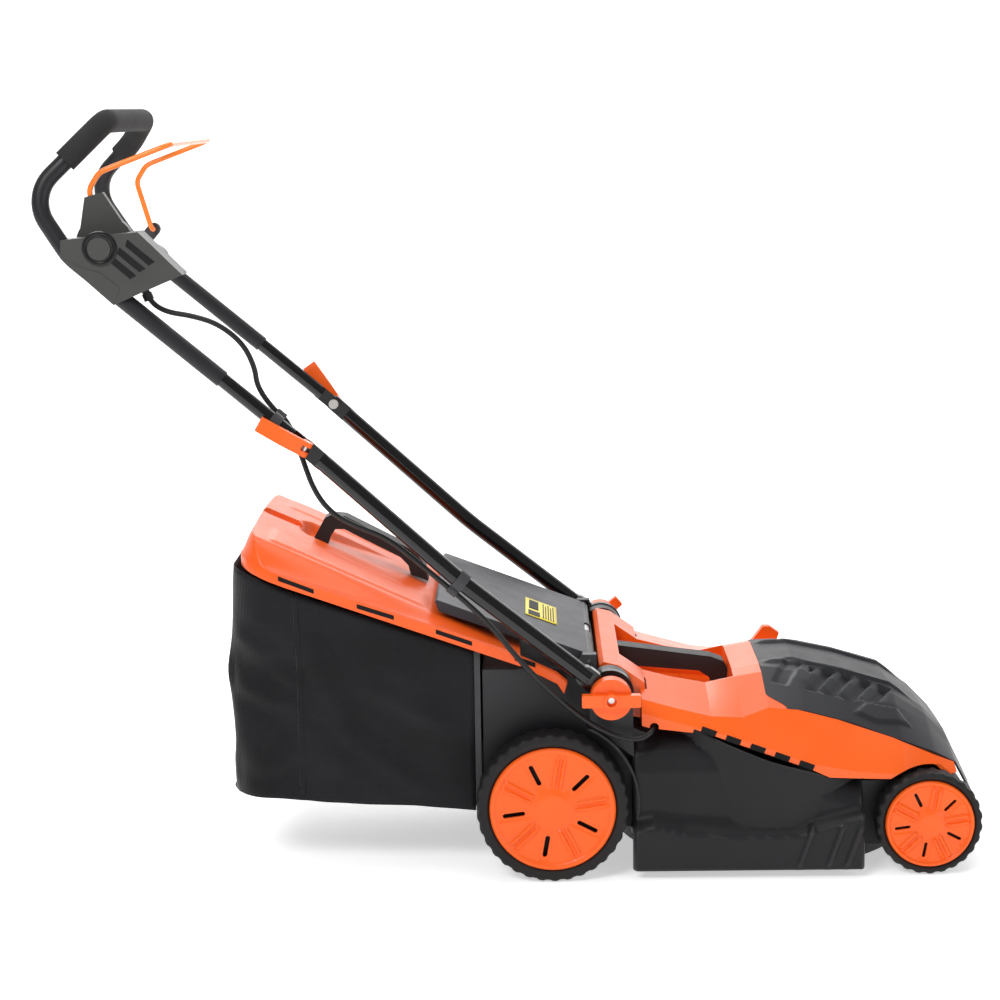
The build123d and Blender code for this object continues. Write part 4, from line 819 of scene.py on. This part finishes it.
def lid_height(x, y):
    """Height of the lid's skin."""
    rim = 285 + (LID_FRONT - x) * 0.357 + LID_BAND
    top = 307 + (-62 - x) * 0.4485
    inward = min(LID_HALF - abs(y), (x - lid_rear(y)) * 2.2)
    shoulder = smooth_step((inward - 2.5) / 38) ** 0.75
    crown = (3 + 6 * smooth_step((-150 - x) / 200)) * (1 - (y / 190) ** 2)
    height = rim + 1.5 * smooth_step(inward / 2.5) + max(0.0, top + crown - rim - 1.5) * shoulder
    ledge = smooth_step((-160 - x) / 12) * smooth_step((abs(y) - 74) / 6)
    ledge *= 1 - smooth_step((abs(y) - 138) / 8)
    height += 2.2 * ledge * smooth_step((x + 372) / 12)
    recess = smooth_step((edge_distance(LID_RECESS, x, y) + 1) / 7)
    if recess:
        height += (min(height, between(RECESS_FLOOR, x)) - height) * recess
    gauge = smooth_step((edge_distance(GAUGE_RECESS, x, y) + 1) / 4)
    if gauge:
        height += (min(height, 425 + (-344 - x) * 0.2625) - height) * gauge
    return height


LID_ROWS, LID_LANES = 127, 67
lid_rows = []
for i in range(LID_ROWS):
    row = []
    end_row = i in (0, LID_ROWS - 1)
    for j in range(-LID_LANES, LID_LANES + 1):
        y = j / LID_LANES * LID_HALF
        share = min(max(i - 1, 0), LID_ROWS - 3) / (LID_ROWS - 3)
        x = LID_FRONT + (lid_rear(y) - LID_FRONT) * share
        skirt = LID_BAND if end_row or abs(j) == LID_LANES else 0
        row.append((x, y, lid_height(x, y) - skirt))
    band = 0 if end_row else LID_BAND
    row.insert(1, (row[0][0], row[0][1], row[0][2] + band))
    row.insert(-1, (row[-1][0], row[-1][1], row[-1][2] + band))
    lid_rows.append(row)
lid_skin = grid_piece("lid_skin", lid_rows, MAT["lid_orange"], angle=38)
face_outwards(lid_skin)
solidify(lid_skin, 2.5)
bevel(lid_skin, 1.2, 2, 50)
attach(lid_skin, "grass_box")
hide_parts("grass_lid")
LID_HOOK = [(-60, 292.2), (-60, 306), (8, 274), (22, 262), (17, 246), (8, 260), (-38, 284.4)]
RIM_SLOTS = [(-352, 412, -306, 394), (-251, 374, -203, 358), (-149, 339, -102, 322), (-47, 302, -20, 292)]
for side, word in ((-1, "right"), (1, "left")):
    y_from, y_to = sorted((side * 172, side * 186.8))
    hook = plate_piece(f"lid_hook_{word}", LID_HOOK, y_from, y_to, MAT["lid_orange"], 2.0)
    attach(hook, "grass_box")

# dark slots along the lid's rim, drawn as black plates: painted shadow inside the slots over the black bag
# behind them
for side, word in ((-1, "right"), (1, "left")):
    for step, (x0, z0, x1, z1) in enumerate(RIM_SLOTS):
        y_from, y_to = sorted((side * 184, side * 187.5))
        outline = [(x0, z0 - 9), (x1, z1 - 9), (x1, z1 - 3), (x0, z0 - 3)]
        slot = plate_piece(f"rim_slot_{word}_{step}", outline, y_from, y_to, ink_and_painted_shade, 0.5)
        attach(slot, "grass_box")

# --- labels -----------------------------------------------------------------------------
FLAP_FRONT, FLAP_REAR = (50.0, 291.4), (-148.0, 366.5)
flap_slope = (FLAP_REAR[1] - FLAP_FRONT[1]) / (FLAP_REAR[0] - FLAP_FRONT[0])


def flap_point(x, y, lift):
    return (x, y, FLAP_FRONT[1] + (x - FLAP_FRONT[0]) * flap_slope + lift)


def flap_patch(name, x0, x1, y0, y1, material, lift):
    """A thin printed patch on the flap's upper face."""
    rows = [[flap_point(x0 + (x1 - x0) * i / 8, y0 + (y1 - y0) * j / 8, lift) for j in range(9)]
            for i in range(9)]
    piece = grid_piece(name, rows, material)
    solidify(piece, 0.25)
    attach(piece, "flap_body")


flap_patch("flap_label", -33, 10, -54, 46, label_yellow, 0.7)
flap_patch("flap_label_mark", -29, -13, -48, -22, ink_and_painted_shade, 0.95)
for step in range(5):
    flap_patch(f"flap_label_line_{step}", -9 + 3.4 * step, -7.6 + 3.4 * step, -46, 38 - 9 * (step % 2),
               ink_and_painted_shade, 0.95)
flap_patch("flap_label_bar", -28, -15, -12, 38, ink_and_painted_shade, 0.95)


# --- switch cover -------------------------------------------------------------------------
COVER_Y = -218.0
BUTTON = (-556.0, 836.0)
ring = []
for i in range(48):
    turn = 2 * pi * i / 48
    ring.append([(BUTTON[0] + r * cos(turn), COVER_Y - proud, BUTTON[1] + r * sin(turn))
                 for r, proud in ((16.5, -1), (16.5, 1.2), (18, 1.8), (20.5, 1.8), (22, 1.2), (22, -1))])
button_ring = grid_piece("button_ring", ring, MAT["gloss_black_plastic"], close_rows=True, angle=50)
face_outwards(button_ring)
cover_pieces = [button_ring]
for k in range(3):
    start_x, start_z = -521 - 10.5 * k, 847 - 9.5 * k
    length = 46 - 2 * k
    bar = [(start_x, start_z), (start_x + length * 0.72, start_z - length * 0.62),
           (start_x + length * 0.72 - 8, start_z - length * 0.62 - 4.5), (start_x - 3, start_z - 8.5)]
    cover_pieces.append(plate_piece(f"cover_pocket_{k}", bar, COVER_Y - 0.9, COVER_Y + 1,
                                    MAT["gloss_black_plastic"], 0.7))
panel = [(-601, 824), (-578, 812), (-556, 806), (-533, 786), (-540, 769.5), (-546, 769.5), (-601, 821)]
cover_pieces.append(plate_piece("cover_panel", panel, COVER_Y - 0.8, COVER_Y + 1, MAT["switch_grey"], 0.6))
for piece in cover_pieces:
    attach(piece, "upper_handle")
